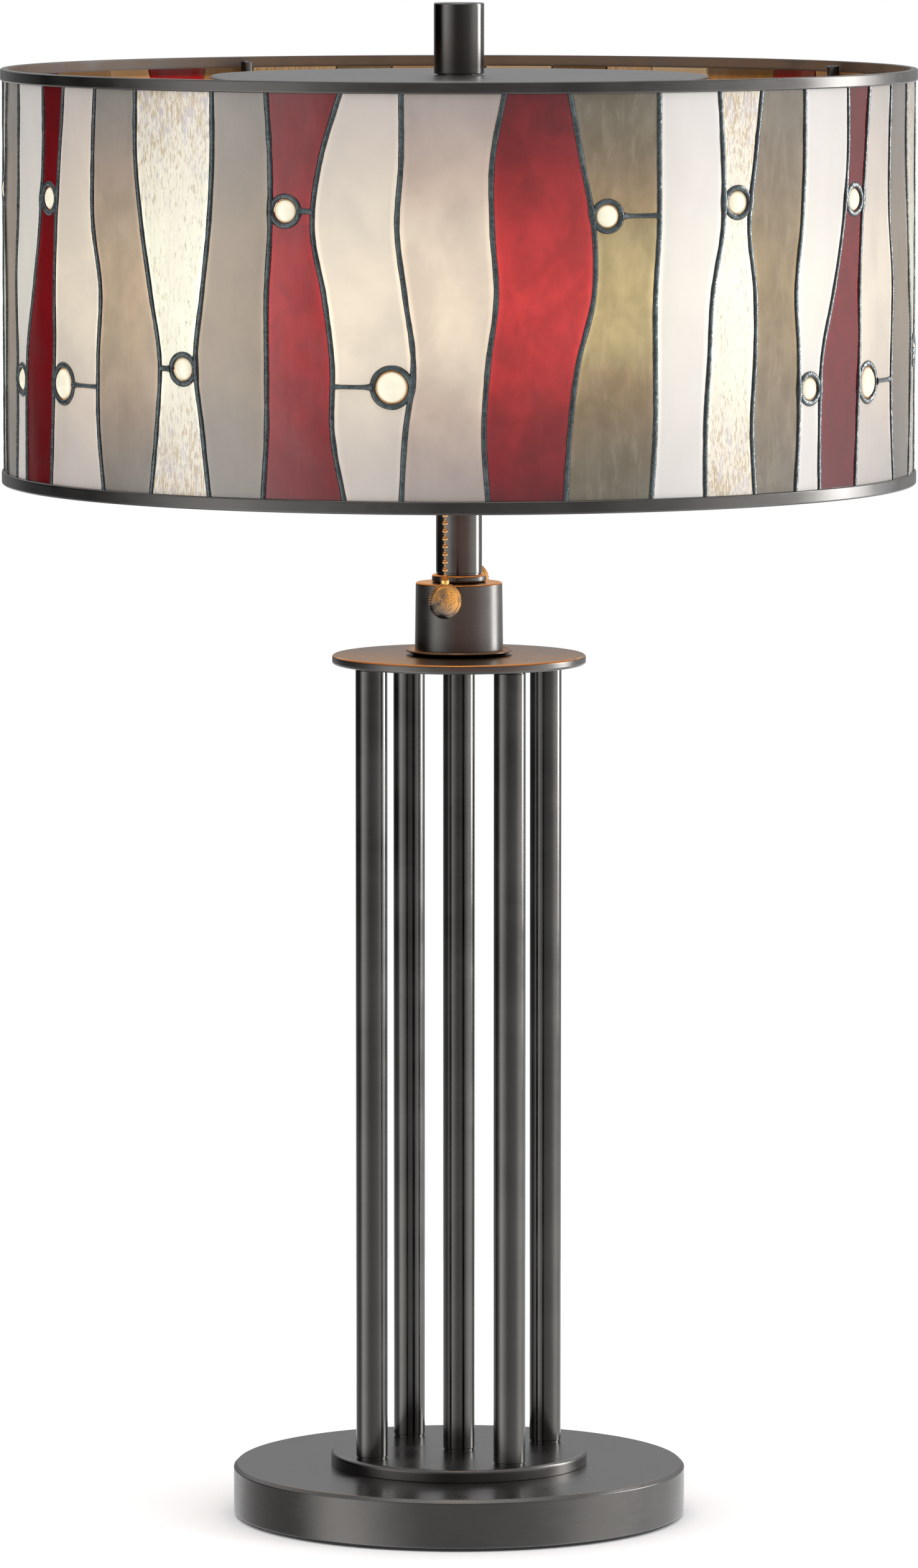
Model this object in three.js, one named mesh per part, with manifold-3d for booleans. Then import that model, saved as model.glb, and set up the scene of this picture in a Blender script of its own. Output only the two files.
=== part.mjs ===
// Table lamp with a drum shade of leaded art glass, in millimetres, +Z up.
// The origin is the middle of the base's underside; the lamp is looked at along +Y,
// and an angle called "turn" is counted from the front (-Y) towards +X.
import * as THREE from "three";
import { mergeVertices } from "three/addons/utils/BufferGeometryUtils.js";
import Module from "manifold-3d";

const wasm = await Module();
wasm.setup();

// ---- driving dimensions ----
const GAP = 0.3; // clearance between pieces that sit inside one another
const HEIGHT = 660.5;

const BASE = { radius: 99, top: 22.6, bevel: 1.7, foot: 0.7, recessRadius: 15, recessTop: 12, leadHeight: 8 };
const FELT = { thickness: 1.5, inset: 2 };
const BUSHING = { bore: 2.8, body: 4.2, flange: 6.4, start: 84, stand: 2.2, play: 0.4 };
const BASE_WASHER = { radius: 12, thickness: 1.6 };
const BASE_NUT = { acrossFlats: 17, height: 6 };
const STEP = { radius: 56, top: 28.2, bevel: 0.8 };
const ROD = { radius: 6.9, wall: 1, circle: 43.8, turns: [-60, 30, 120, 210] };
const PLATE = { radius: 55.2, bottom: 373.9, top: 377.9, round: 1.2 };
const SEAT = { foot: 20, rim: 23.2, rimHeight: 1.8, lip: 22.8, lipHeight: 2.5, dish: 19.8 };
const COLLAR = { bottomRadius: 19.2, topRadius: 18.8, bottom: 378.9, top: 409.5, wall: 1.6, bevel: 0.8 };
const CHECK = { radius: 11.8, top: 413, bevel: 0.9, bevelHeight: 1.2 };
const STEM = { radius: 10, wall: 1.4, top: 500 };
const PIPE = { radius: 4.85, bore: 3.4, bottom: 3.5, top: 643 };
const HOLE = PIPE.radius + 0.45; // clearance hole for the threaded pipe
const CLUSTER = { radius: 14, bottom: 500, top: 524, centre: 512, bossRadius: 6, bossStart: 9, bossEnd: 17 };
const SOCKET = { turns: [-6, 174], tilt: 20, radius: 17, wall: 1.6, neck: 7, mouth: 78 };
const SOCKET_CAP = { start: 17.3, end: 37.7 };
const BULB = { start: 54, neck: 78.5, end: 163, neckRadius: 13.4, radius: 30, baseRadius: 13 };
const CHAIN = { reach: 57.3, radius: 1.2, bottom: 414.4, top: 513 };
const SPOUT = { radius: 3.2, wall: 1.2, bottom: 504, top: 515.6 };
const PENDANT = { radius: 7.8, thickness: 3, bevel: 0.8, centre: 405.8, faces: 20 };
const RISER = { radius: 6.5, top: 611 };
const HUB = { radius: 16, bottom: 617, top: 627.3, nutAcrossFlats: 16 };
const ARM = { width: 3, bottom: 620, top: 625, turns: [30, 120, 210, 300] };
const ARM_TIP = { top: 630.5, start: 188.6, end: 193.4 };
const CAP = { radius: 108.2, top: 629.3, bevel: 0.8 };
const FINIAL = { radius: 10.9, bottom: 629.9, boreTop: 646, washerRadius: 9.5, bevel: 0.6 };
const RIM = { inner: 195.2, outer: 198.4, topTop: 632.4, topBottom: 627.3, lowTop: 458.8, lowBottom: 453.2 };
const GLASS = { inner: 194, outer: 196.8, bottom: 459.1, top: 627 };
const LEAD = { inner: 197.2, outer: 198, width: 2.8, band: 2.4, setBack: 0.1 };

// One third of the shade's lead lines, left to right: the turn of each line in degrees at
// seven even heights from the top of the glass to its bottom. The pattern repeats three times.
const REPEATS = 3;
const LEAD_LINES = [
  [-63.5, -63.5, -64.5, -66.5, -69, -69.5, -69.5],
  [-58, -59, -60, -60.5, -60.5, -61, -61.5],
  [-51, -51.5, -51.5, -50, -50.5, -50.5, -49.5],
  [-43.5, -43.5, -42.5, -41, -39.5, -40, -41],
  [-31.5, -31.5, -32, -33, -34, -33, -32],
  [-24, -23.5, -23.5, -24, -24, -24, -24.5],
  [-14.5, -17, -18, -16.5, -15.5, -15.5, -14],
  [-7, -7, -7.5, -6.5, -5.5, -6.5, -7],
  [5.5, 4, 4, 4.5, 3.5, 3, 3.5],
  [13.5, 15, 16.5, 16.5, 14.5, 13.5, 13],
  [25, 25, 25, 24.5, 24.5, 24.5, 24],
  [33.5, 34, 34, 32.5, 32, 31.5, 31.5],
  [40, 39, 38, 39, 39, 38.5, 39],
  [47.5, 47.5, 47, 46, 46.5, 46.5, 46],
];
const ROWS = LEAD_LINES[0].length - 1;

// ---- finishes ----
const finish = (color, roughness, metalness, opacity = 1) => () =>
  new THREE.MeshStandardMaterial({ color, roughness, metalness, opacity, transparent: opacity < 1 });
const FINISH = {
  bronze: finish(0x3b3a38, 0.38, 0.85),
  brass: finish(0xa5803f, 0.35, 0.9),
  steel: finish(0x9a9c9e, 0.35, 0.9),
  lead: finish(0x2c3336, 0.45, 0.8),
  felt: finish(0x1b1b1c, 0.95, 0),
  rubber: finish(0x1c1c1c, 0.6, 0),
  bulb: finish(0xfff1d6, 0.3, 0, 0.8),
  red: finish(0xa02c34, 0.25, 0, 0.9),
  taupe: finish(0xb9a58c, 0.25, 0, 0.9),
  grey: finish(0xa19a90, 0.25, 0, 0.9),
  ivory: finish(0xe6dccb, 0.25, 0, 0.9),
  olive: finish(0xb0a27a, 0.25, 0, 0.9),
  clear: finish(0xf5ecd8, 0.15, 0, 0.6),
  white: finish(0xf3eee8, 0.25, 0, 0.9),
};
const PANEL_FINISH = ["red", "taupe", "grey", "ivory", "olive", "clear", "white"];

// ---- helpers ----
const lamp = new THREE.Group();
const radians = THREE.MathUtils.degToRad;

function add(name, geometry, finishName, parent = lamp) {
  const mesh = new THREE.Mesh(geometry, FINISH[finishName]());
  mesh.name = name;
  parent.add(mesh);
  return mesh;
}

// A solid of revolution about Z; the outline is [radius, height] pairs, anticlockwise.
function turned(outline, segments = 28) {
  const points = outline.map(([r, z]) => new THREE.Vector2(r, z));
  if (outline[0][0] > 0) points.push(points[0].clone());
  return new THREE.LatheGeometry(points, segments).rotateX(Math.PI / 2);
}

const pipe = (inner, outer, bottom, top, segments) =>
  turned([[inner, bottom], [outer, bottom], [outer, top], [inner, top]], segments);

function toSolid(geometry) {
  const bare = geometry.clone();
  for (const name of ["normal", "uv"]) bare.deleteAttribute(name);
  const merged = mergeVertices(bare, 1e-4);
  return new wasm.Manifold(
    new wasm.Mesh({
      numProp: 3,
      vertProperties: Float32Array.from(merged.attributes.position.array),
      triVerts: Uint32Array.from(merged.index.array),
    }),
  );
}

function fromSolid(solid) {
  const mesh = solid.getMesh();
  return new THREE.BufferGeometry()
    .setAttribute("position", new THREE.BufferAttribute(mesh.vertProperties, 3))
    .setIndex(new THREE.BufferAttribute(mesh.triVerts, 1));
}

const join = (...geometries) =>
  fromSolid(geometries.map(toSolid).reduce((whole, piece) => whole.add(piece)));
const cut = (geometry, ...tools) =>
  fromSolid(tools.map(toSolid).reduce((whole, tool) => whole.subtract(tool), toSolid(geometry)));

// A flat outline in [x, y] pushed up from one height to another.
function raised(outline, bottom, top) {
  const shape = new THREE.Shape(outline.map(([x, y]) => new THREE.Vector2(x, y)));
  return new THREE.ExtrudeGeometry(shape, { depth: top - bottom, bevelEnabled: false }).translate(0, 0, bottom);
}

function hexagonNut(acrossFlats, bottom, top) {
  const corner = acrossFlats / Math.sqrt(3);
  const outline = [0, 60, 120, 180, 240, 300].map((a) => [
    corner * Math.cos(radians(a)),
    corner * Math.sin(radians(a)),
  ]);
  const bore = new THREE.CylinderGeometry(HOLE, HOLE, top - bottom + 2, 16)
    .rotateX(Math.PI / 2)
    .translate(0, 0, (top + bottom) / 2);
  return cut(raised(outline, bottom, top), bore);
}

// A plate bent round the axis between two wavy side lines, each a function of the row number.
function bentPlate(left, right, inner, outer, bottom, top, columns) {
  const positions = [];
  const indices = [];
  const count = (ROWS + 1) * (columns + 1);
  for (const radius of [outer, inner])
    for (let row = 0; row <= ROWS; row++)
      for (let column = 0; column <= columns; column++) {
        const turn = radians(THREE.MathUtils.lerp(left(row), right(row), column / columns));
        const z = THREE.MathUtils.lerp(top, bottom, row / ROWS);
        positions.push(radius * Math.sin(turn), -radius * Math.cos(turn), z);
      }
  const at = (row, column) => row * (columns + 1) + column;
  const quad = (a, b, c, d) => indices.push(a, b, c, a, c, d);
  for (let row = 0; row < ROWS; row++)
    for (let column = 0; column < columns; column++) {
      const [a, b, c, d] = [at(row + 1, column), at(row + 1, column + 1), at(row, column + 1), at(row, column)];
      quad(a, b, c, d);
      quad(a + count, d + count, c + count, b + count);
    }
  const wall = (p, q) => quad(q, p, p + count, q + count);
  for (let column = 0; column < columns; column++) {
    wall(at(ROWS, column), at(ROWS, column + 1));
    wall(at(0, column + 1), at(0, column));
  }
  for (let row = 0; row < ROWS; row++) {
    wall(at(row + 1, columns), at(row, columns));
    wall(at(row, 0), at(row + 1, 0));
  }
  return new THREE.BufferGeometry()
    .setAttribute("position", new THREE.Float32BufferAttribute(positions, 3))
    .setIndex(indices);
}

// ---- foot ----
const padRadius = BASE.radius - FELT.inset;
const padTop = FELT.thickness;
add("felt_pad", turned([[0, 0], [padRadius, 0], [padRadius, padTop], [0, padTop]], 36), "felt");

// The supply lead would come in at the back, through a bored channel with a bushing in its mouth.
const channelRadius = BUSHING.body + BUSHING.play;
const channelStart = 4; // inside the base's recess, so that the channel opens into it
const leadBore = new THREE.CylinderGeometry(channelRadius, channelRadius, BASE.radius, 12)
  .translate(0, channelStart + BASE.radius / 2, BASE.leadHeight);
const baseOutline = [
  [BASE.recessRadius, padTop],
  [BASE.radius - BASE.foot, padTop],
  [BASE.radius, padTop + BASE.foot],
  [BASE.radius, BASE.top - BASE.bevel],
  [BASE.radius - BASE.bevel, BASE.top],
  [HOLE, BASE.top],
  [HOLE, BASE.recessTop],
  [BASE.recessRadius, BASE.recessTop],
];
add("base_weight", cut(turned(baseOutline, 42), leadBore), "bronze");

const flangeSeat = BASE.radius + GAP;
const flangeEnd = BASE.radius + BUSHING.stand;
const bushingOutline = [
  [BUSHING.bore, BUSHING.start],
  [BUSHING.body, BUSHING.start],
  [BUSHING.body, flangeSeat],
  [BUSHING.flange, flangeSeat],
  [BUSHING.flange, flangeEnd],
  [BUSHING.bore, flangeEnd],
];
const bushing = add("cord_bushing", turned(bushingOutline, 16), "rubber");
bushing.rotation.x = -Math.PI / 2;
bushing.position.z = BASE.leadHeight;

const washerBottom = BASE.recessTop - BASE_WASHER.thickness;
add("base_washer", pipe(HOLE, BASE_WASHER.radius, washerBottom, BASE.recessTop, 20), "steel");
const baseNut = hexagonNut(BASE_NUT.acrossFlats, washerBottom - BASE_NUT.height, washerBottom);
add("base_nut", baseNut, "steel");

const stepOutline = [
  [HOLE, BASE.top],
  [STEP.radius, BASE.top],
  [STEP.radius, STEP.top - STEP.bevel],
  [STEP.radius - STEP.bevel, STEP.top],
  [HOLE, STEP.top],
];
add("step_disc", turned(stepOutline, 36), "bronze");

// ---- column: one middle tube and four outer rods ----
add("centre_tube", pipe(HOLE, ROD.radius, STEP.top, PLATE.bottom, 20), "bronze");
ROD.turns.forEach((turn, i) => {
  const tube = pipe(ROD.radius - ROD.wall, ROD.radius, STEP.top, PLATE.bottom, 16);
  const rod = add(`rod_${i + 1}`, tube, "bronze");
  rod.position.set(ROD.circle * Math.sin(radians(turn)), -ROD.circle * Math.cos(radians(turn)), 0);
});

const plateOutline = [
  [HOLE, PLATE.bottom],
  [PLATE.radius - PLATE.round, PLATE.bottom],
  [PLATE.radius, PLATE.bottom + PLATE.round],
  [PLATE.radius, PLATE.top - PLATE.round],
  [PLATE.radius - PLATE.round, PLATE.top],
  [HOLE, PLATE.top],
];
add("upper_plate", turned(plateOutline, 32), "bronze");

// ---- neck: dished seat ring, collar, check ring and stem ----
const seatOutline = [
  [HOLE, PLATE.top],
  [SEAT.foot, PLATE.top],
  [SEAT.rim, PLATE.top + SEAT.rimHeight],
  [SEAT.lip, PLATE.top + SEAT.lipHeight],
  [SEAT.dish, COLLAR.bottom],
  [HOLE, COLLAR.bottom],
];
add("seat_ring", turned(seatOutline), "bronze");

const collarOutline = [
  [COLLAR.bottomRadius - COLLAR.wall, COLLAR.bottom],
  [COLLAR.bottomRadius, COLLAR.bottom],
  [COLLAR.topRadius, COLLAR.top - COLLAR.bevel],
  [COLLAR.topRadius - COLLAR.bevel, COLLAR.top],
  [HOLE, COLLAR.top],
  [HOLE, COLLAR.top - COLLAR.wall],
  [COLLAR.topRadius - COLLAR.wall, COLLAR.top - COLLAR.wall],
];
add("collar", turned(collarOutline), "bronze");

const checkOutline = [
  [HOLE, COLLAR.top],
  [CHECK.radius - CHECK.bevel, COLLAR.top],
  [CHECK.radius, COLLAR.top + CHECK.bevelHeight],
  [CHECK.radius, CHECK.top - CHECK.bevelHeight],
  [CHECK.radius - CHECK.bevel, CHECK.top],
  [HOLE, CHECK.top],
];
add("check_ring", turned(checkOutline, 24), "bronze");
add("stem_tube", pipe(STEM.radius - STEM.wall, STEM.radius, CHECK.top, STEM.top, 24), "bronze");
add("threaded_pipe", pipe(PIPE.bore, PIPE.radius, PIPE.bottom, PIPE.top, 12), "steel");

// ---- lamp holders: a cluster body and two tilted sockets, each with its bulb ----
// A piece turned about a socket's axis, its outline counted outwards from the lamp's axis.
function onSocket(geometry, turn) {
  return geometry
    .rotateX(radians(90 - SOCKET.tilt))
    .rotateZ(radians(turn))
    .translate(0, 0, CLUSTER.centre);
}

const clusterBody = pipe(HOLE, CLUSTER.radius, CLUSTER.bottom, CLUSTER.top, 24);
const bossOutline = [
  [0, CLUSTER.bossStart],
  [CLUSTER.bossRadius, CLUSTER.bossStart],
  [CLUSTER.bossRadius, CLUSTER.bossEnd],
  [0, CLUSTER.bossEnd],
];
const bosses = SOCKET.turns.map((turn) => onSocket(turned(bossOutline, 16), turn));
add("cluster_body", join(clusterBody, ...bosses), "bronze");

const capOutline = [
  [0, SOCKET_CAP.start],
  [SOCKET.neck, SOCKET_CAP.start],
  [SOCKET.neck, SOCKET_CAP.start + 6],
  [2 * SOCKET.neck, SOCKET_CAP.start + 10],
  [SOCKET.radius, SOCKET_CAP.end - 6],
  [SOCKET.radius, SOCKET_CAP.end],
  [0, SOCKET_CAP.end],
];
const shellStart = SOCKET_CAP.end + 0.1; // the cap clips on with a hairline joint
const shellInner = SOCKET.radius - SOCKET.wall;
const shellFloor = BULB.start - 1.5;
const shellOutline = [
  [0, shellStart],
  [SOCKET.radius, shellStart],
  [SOCKET.radius, SOCKET.mouth],
  [shellInner, SOCKET.mouth],
  [shellInner, shellFloor],
  [0, shellFloor],
];
const bulbBaseTop = BULB.neck - 0.1; // a hairline joint again, between metal and glass
const bulbBaseOutline = [
  [0, BULB.start - 1],
  [5, BULB.start - 1],
  [9, BULB.start + 3],
  [BULB.baseRadius, BULB.start + 4],
  [BULB.baseRadius, bulbBaseTop],
  [0, bulbBaseTop],
];
const bulbOutline = [
  [0, BULB.neck],
  [BULB.neckRadius, BULB.neck],
  [BULB.neckRadius + 1.6, BULB.neck + 10],
  [22, BULB.neck + 24],
  [28, BULB.neck + 37],
  [BULB.radius, BULB.end - 32],
  [28, BULB.end - 17],
  [20, BULB.end - 5],
  [9, BULB.end - 0.8],
  [0, BULB.end],
];

// The chain hangs straight down from a spout under its socket, at the same reach and turn.
const chainPlace = (turn) => [CHAIN.reach * Math.sin(radians(turn)), -CHAIN.reach * Math.cos(radians(turn))];
const upright = (radius, bottom, top, segments, turn) =>
  new THREE.CylinderGeometry(radius, radius, top - bottom, segments)
    .rotateX(Math.PI / 2)
    .translate(...chainPlace(turn), (top + bottom) / 2);

SOCKET.turns.forEach((turn, i) => {
  const n = i + 1;
  add(`socket_cap_${n}`, onSocket(turned(capOutline, 20), turn), "brass");
  const spout = upright(SPOUT.radius, SPOUT.bottom, SPOUT.top, 12, turn);
  const spoutBore = upright(SPOUT.radius - SPOUT.wall, SPOUT.bottom - 1, SPOUT.top + 0.6, 12, turn);
  const shell = join(onSocket(turned(shellOutline, 20), turn), spout);
  add(`socket_shell_${n}`, cut(shell, spoutBore), "brass");
  add(`bulb_base_${n}`, onSocket(turned(bulbBaseOutline, 16), turn), "steel");
  add(`bulb_glass_${n}`, onSocket(turned(bulbOutline, 18), turn), "bulb");
  add(`pull_chain_${n}`, upright(CHAIN.radius, CHAIN.bottom, CHAIN.top, 8, turn), "brass");
  const half = PENDANT.thickness / 2;
  const disc = [
    [0, -half],
    [PENDANT.radius - PENDANT.bevel, -half],
    [PENDANT.radius, -half + PENDANT.bevel],
    [PENDANT.radius, half - PENDANT.bevel],
    [PENDANT.radius - PENDANT.bevel, half],
    [0, half],
  ];
  const pendant = add(`pendant_${n}`, turned(disc, 20), "brass");
  pendant.rotation.set(Math.PI / 2, 0, radians(PENDANT.faces), "ZXY");
  pendant.position.set(...chainPlace(turn), PENDANT.centre);
});

// ---- shade carrier ----
add("riser_tube", pipe(HOLE, RISER.radius, CLUSTER.top, RISER.top, 16), "steel");
add("hub_nut", hexagonNut(HUB.nutAcrossFlats, RISER.top, HUB.bottom), "steel");

const armStart = HUB.radius - 4; // well inside the hub, so that hub and arms are one piece
const armOutline = [
  [armStart, ARM.bottom],
  [ARM_TIP.end, ARM.bottom],
  [ARM_TIP.end, ARM_TIP.top],
  [ARM_TIP.start, ARM_TIP.top],
  [ARM_TIP.start, ARM.top],
  [armStart, ARM.top],
];
const arms = ARM.turns.map((turn) =>
  raised(armOutline, -ARM.width / 2, ARM.width / 2)
    .rotateX(Math.PI / 2)
    .rotateZ(radians(turn)),
);
add("spider", join(pipe(HOLE, HUB.radius, HUB.bottom, HUB.top, 20), ...arms), "bronze");

const capDiscOutline = [
  [HOLE, HUB.top],
  [CAP.radius - CAP.bevel, HUB.top],
  [CAP.radius, HUB.top + CAP.bevel],
  [CAP.radius, CAP.top - CAP.bevel],
  [CAP.radius - CAP.bevel, CAP.top],
  [HOLE, CAP.top],
];
add("cap_disc", turned(capDiscOutline, 42), "bronze");
add("finial_washer", pipe(HOLE, FINIAL.washerRadius, CAP.top, FINIAL.bottom, 20), "bronze");

const finialOutline = [
  [0, FINIAL.boreTop],
  [HOLE, FINIAL.boreTop],
  [HOLE, FINIAL.bottom],
  [FINIAL.radius, FINIAL.bottom],
  [FINIAL.radius, HEIGHT - FINIAL.bevel],
  [FINIAL.radius - FINIAL.bevel, HEIGHT],
  [0, HEIGHT],
];
add("finial", turned(finialOutline, 24), "bronze");

// ---- shade: rims, glass panels of two strips each, and the lead lattice over their joints ----
add("top_ring", pipe(RIM.inner, RIM.outer, RIM.topBottom, RIM.topTop, 63), "bronze");
add("bottom_ring", pipe(RIM.inner, RIM.outer, RIM.lowBottom, RIM.lowTop, 63), "bronze");

const LINE_COUNT = LEAD_LINES.length;
const lineTurn = (line, row) =>
  LEAD_LINES[line % LINE_COUNT][row] + (360 / REPEATS) * Math.floor(line / LINE_COUNT);
const degreesWide = (width, radius) => THREE.MathUtils.radToDeg(width / radius);

const jointHalf = degreesWide(GAP, GLASS.outer);
const PANELS = (LINE_COUNT * REPEATS) / 2;
for (let panel = 0; panel < PANELS; panel++) {
  const left = (row) => lineTurn(2 * panel, row) + jointHalf;
  const right = (row) => lineTurn(2 * panel + 2, row) - jointHalf;
  const plate = bentPlate(left, right, GLASS.inner, GLASS.outer, GLASS.bottom, GLASS.top, 3);
  const name = `glass_panel_${String(panel + 1).padStart(2, "0")}`;
  add(name, plate, PANEL_FINISH[panel % PANEL_FINISH.length]);
}

const leadHalf = degreesWide(LEAD.width / 2, LEAD.outer);
const ribs = Array.from({ length: LINE_COUNT * REPEATS }, (_, line) =>
  bentPlate(
    (row) => lineTurn(line, row) - leadHalf,
    (row) => lineTurn(line, row) + leadHalf,
    LEAD.inner,
    LEAD.outer,
    GLASS.bottom + LEAD.setBack,
    GLASS.top - LEAD.setBack,
    1,
  ),
);
const bandInner = LEAD.inner + 0.2; // keeps the flats of the many-sided band clear of the glass
const bands = [GLASS.top - LEAD.band, GLASS.bottom].map((bottom) =>
  pipe(bandInner, LEAD.outer - LEAD.setBack, bottom, bottom + LEAD.band, LINE_COUNT * REPEATS),
);
add("lead_lattice", join(...bands, ...ribs), "lead");

export default lamp;
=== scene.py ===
"""Table lamp: a drum shade of leaded art glass on five slim rods and a round, oil-rubbed bronze foot.

Metres, +Z up. The lamp's front faces -Y. A "turn" is an angle about the lamp's axis, in degrees,
counted from the front towards +X.
"""
import math
import random

import bmesh
import bpy
from mathutils import Matrix, Vector, noise


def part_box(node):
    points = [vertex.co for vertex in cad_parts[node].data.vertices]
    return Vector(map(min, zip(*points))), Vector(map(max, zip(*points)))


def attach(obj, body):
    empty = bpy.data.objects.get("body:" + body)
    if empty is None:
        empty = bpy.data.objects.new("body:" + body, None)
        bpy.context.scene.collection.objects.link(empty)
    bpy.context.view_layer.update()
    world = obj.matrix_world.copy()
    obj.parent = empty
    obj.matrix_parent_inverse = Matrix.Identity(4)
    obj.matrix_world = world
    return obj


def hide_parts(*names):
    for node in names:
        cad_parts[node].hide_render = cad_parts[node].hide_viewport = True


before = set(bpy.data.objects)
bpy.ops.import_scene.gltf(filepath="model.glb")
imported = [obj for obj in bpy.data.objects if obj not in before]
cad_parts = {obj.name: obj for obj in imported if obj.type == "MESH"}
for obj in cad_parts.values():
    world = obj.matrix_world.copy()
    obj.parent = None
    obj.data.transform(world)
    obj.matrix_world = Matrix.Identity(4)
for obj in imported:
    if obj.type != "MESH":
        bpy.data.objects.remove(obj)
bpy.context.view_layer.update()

MM = 0.001


def outer_radius(name):
    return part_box(name)[1].x


def bottom(name):
    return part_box(name)[0].z


def top(name):
    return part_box(name)[1].z


def extent(name):
    """A node's bottom, top and outer radius."""
    return bottom(name), top(name), outer_radius(name)


def in_mm(*corners):
    """Corners that are given in millimetres, in metres."""
    return [tuple(value * MM for value in corner) for corner in corners]


# ---------------------------------------------------------------- driving sizes
PIPE_HOLE = 5.3 * MM
RIM_OUTER = outer_radius("top_ring")
RIM_WIDTH = 3.2 * MM
GLASS_OUTER = 196.8 * MM
GLASS_THICK = 2.8 * MM
CHANNEL_BITE = 0.3 * MM  # how far the glass reaches into the rim channels
GLASS_TOP = bottom("top_ring") + CHANNEL_BITE
GLASS_BOTTOM = top("bottom_ring") - CHANNEL_BITE
LEAD_RADIUS = 1.22 * MM
LEAD_FLATTEN = 0.35
LAMP_CENTRE = 0.512  # height at which the axes of both sockets meet
SOCKET_TILT = 20  # degrees above level
SOCKET_TURNS = (-6, 174)
REPEATS = 3

# One third of the shade's lead lines: the turn of each line at seven even heights, top to bottom.
LEAD_LINES = (
    (-63.5, -63.5, -64.5, -66.5, -69, -69.5, -69.5),
    (-58, -59, -60, -60.5, -60.5, -61, -61.5),
    (-51, -51.5, -51.5, -50, -50.5, -50.5, -49.5),
    (-43.5, -43.5, -42.5, -41, -39.5, -40, -41),
    (-31.5, -31.5, -32, -33, -34, -33, -32),
    (-24, -23.5, -23.5, -24, -24, -24, -24.5),
    (-14.5, -17, -18, -16.5, -15.5, -15.5, -14),
    (-7, -7, -7.5, -6.5, -5.5, -6.5, -7),
    (5.5, 4, 4, 4.5, 3.5, 3, 3.5),
    (13.5, 15, 16.5, 16.5, 14.5, 13.5, 13),
    (25, 25, 25, 24.5, 24.5, 24.5, 24),
    (33.5, 34, 34, 32.5, 32, 31.5, 31.5),
    (40, 39, 38, 39, 39, 38.5, 39),
    (47.5, 47.5, 47, 46, 46.5, 46.5, 46),
)
LINES_PER_REPEAT = len(LEAD_LINES)
STRIPS = LINES_PER_REPEAT * REPEATS

# The strips of one third, left to right: the glass, and the jewel in it as
# (height, radius, side it leans to: -1 left line, 1 right line, 0 fills the neck).
SMALL, LARGE = 5.1 * MM, 7.0 * MM
STRIP_KINDS = (
    ("deep_red", (0.580, SMALL, 0)),
    ("ivory", (0.502, LARGE, -1)),
    ("taupe", None),
    ("clear", (0.5115, SMALL, 1)),
    ("grey", None),
    ("rose_red", (0.5785, SMALL, -1)),
    ("ivory", (0.506, LARGE, 1)),
    ("warm_ivory", None),
    ("bright_red", None),
    ("olive", (0.5765, SMALL, -1)),
    ("white", None),
    ("clear", (0.581, SMALL, 0)),
    ("umber", None),
    ("white", (0.5015, SMALL, 0)),
)
ODD_STRIPS = {16: "grey", 40: "grey"}
SLOT_OF_GLASS = {
    "deep_red": "glass_red",
    "rose_red": "glass_red",
    "bright_red": "glass_red",
    "ivory": "glass_ivory",
    "warm_ivory": "glass_ivory",
    "taupe": "glass_taupe",
    "clear": "glass_clear",
    "umber": "glass_taupe",
    "grey": "glass_grey",
    "olive": "glass_olive",
    "white": "glass_white",
}


def around(radius, turn, height):
    """The point at that radius, turn and height."""
    angle = math.radians(turn)
    return Vector((radius * math.sin(angle), -radius * math.cos(angle), height))


# ---------------------------------------------------------------- camera, lights and floor
CAMERA_DISTANCE = 4.304
CAMERA_HEIGHT = 0.7589
AIM_HEIGHT = 0.3212
LENS = 228.1
SENSOR = 36


def place_camera():
    """Looks at the lamp's front from far off and a little above the shade."""
    data = bpy.data.cameras.new("camera")
    data.sensor_fit = "VERTICAL"
    data.sensor_height = SENSOR
    data.lens = LENS
    data.clip_end = 60
    camera = bpy.data.objects.new("camera", data)
    camera.location = (0, -CAMERA_DISTANCE, CAMERA_HEIGHT)
    aim = Vector((0, 0, AIM_HEIGHT)) - camera.location
    camera.rotation_euler = aim.to_track_quat("-Z", "Y").to_euler()
    bpy.context.scene.collection.objects.link(camera)
    bpy.context.scene.camera = camera


POWER_PER_AREA = 4  # watts per square metre at radiance 1


def softbox(name, place, size, radiance, colour=(1, 1, 1), aim=(0, 0, 0.4), mirrored=False):
    """An area light. Mirrors see it only when mirrored is true, and the camera never does."""
    data = bpy.data.lights.new(name, "AREA")
    data.shape = "RECTANGLE"
    data.size, data.size_y = size
    data.energy = radiance * POWER_PER_AREA * size[0] * size[1]
    data.color = colour
    light = bpy.data.objects.new(name, data)
    light.location = place
    light.rotation_euler = (Vector(aim) - light.location).to_track_quat("-Z", "Y").to_euler()
    light.visible_camera = False
    light.visible_glossy = mirrored
    bpy.context.scene.collection.objects.link(light)
    return light


def shine_only_on(light, label, pieces):
    """Keeps a light to the pieces it is meant for."""
    chosen = bpy.data.collections.new(label)
    for piece in pieces:
        chosen.objects.link(piece)
    light.light_linking.receiver_collection = chosen


FLOOR_RADIUS = 0.75


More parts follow.
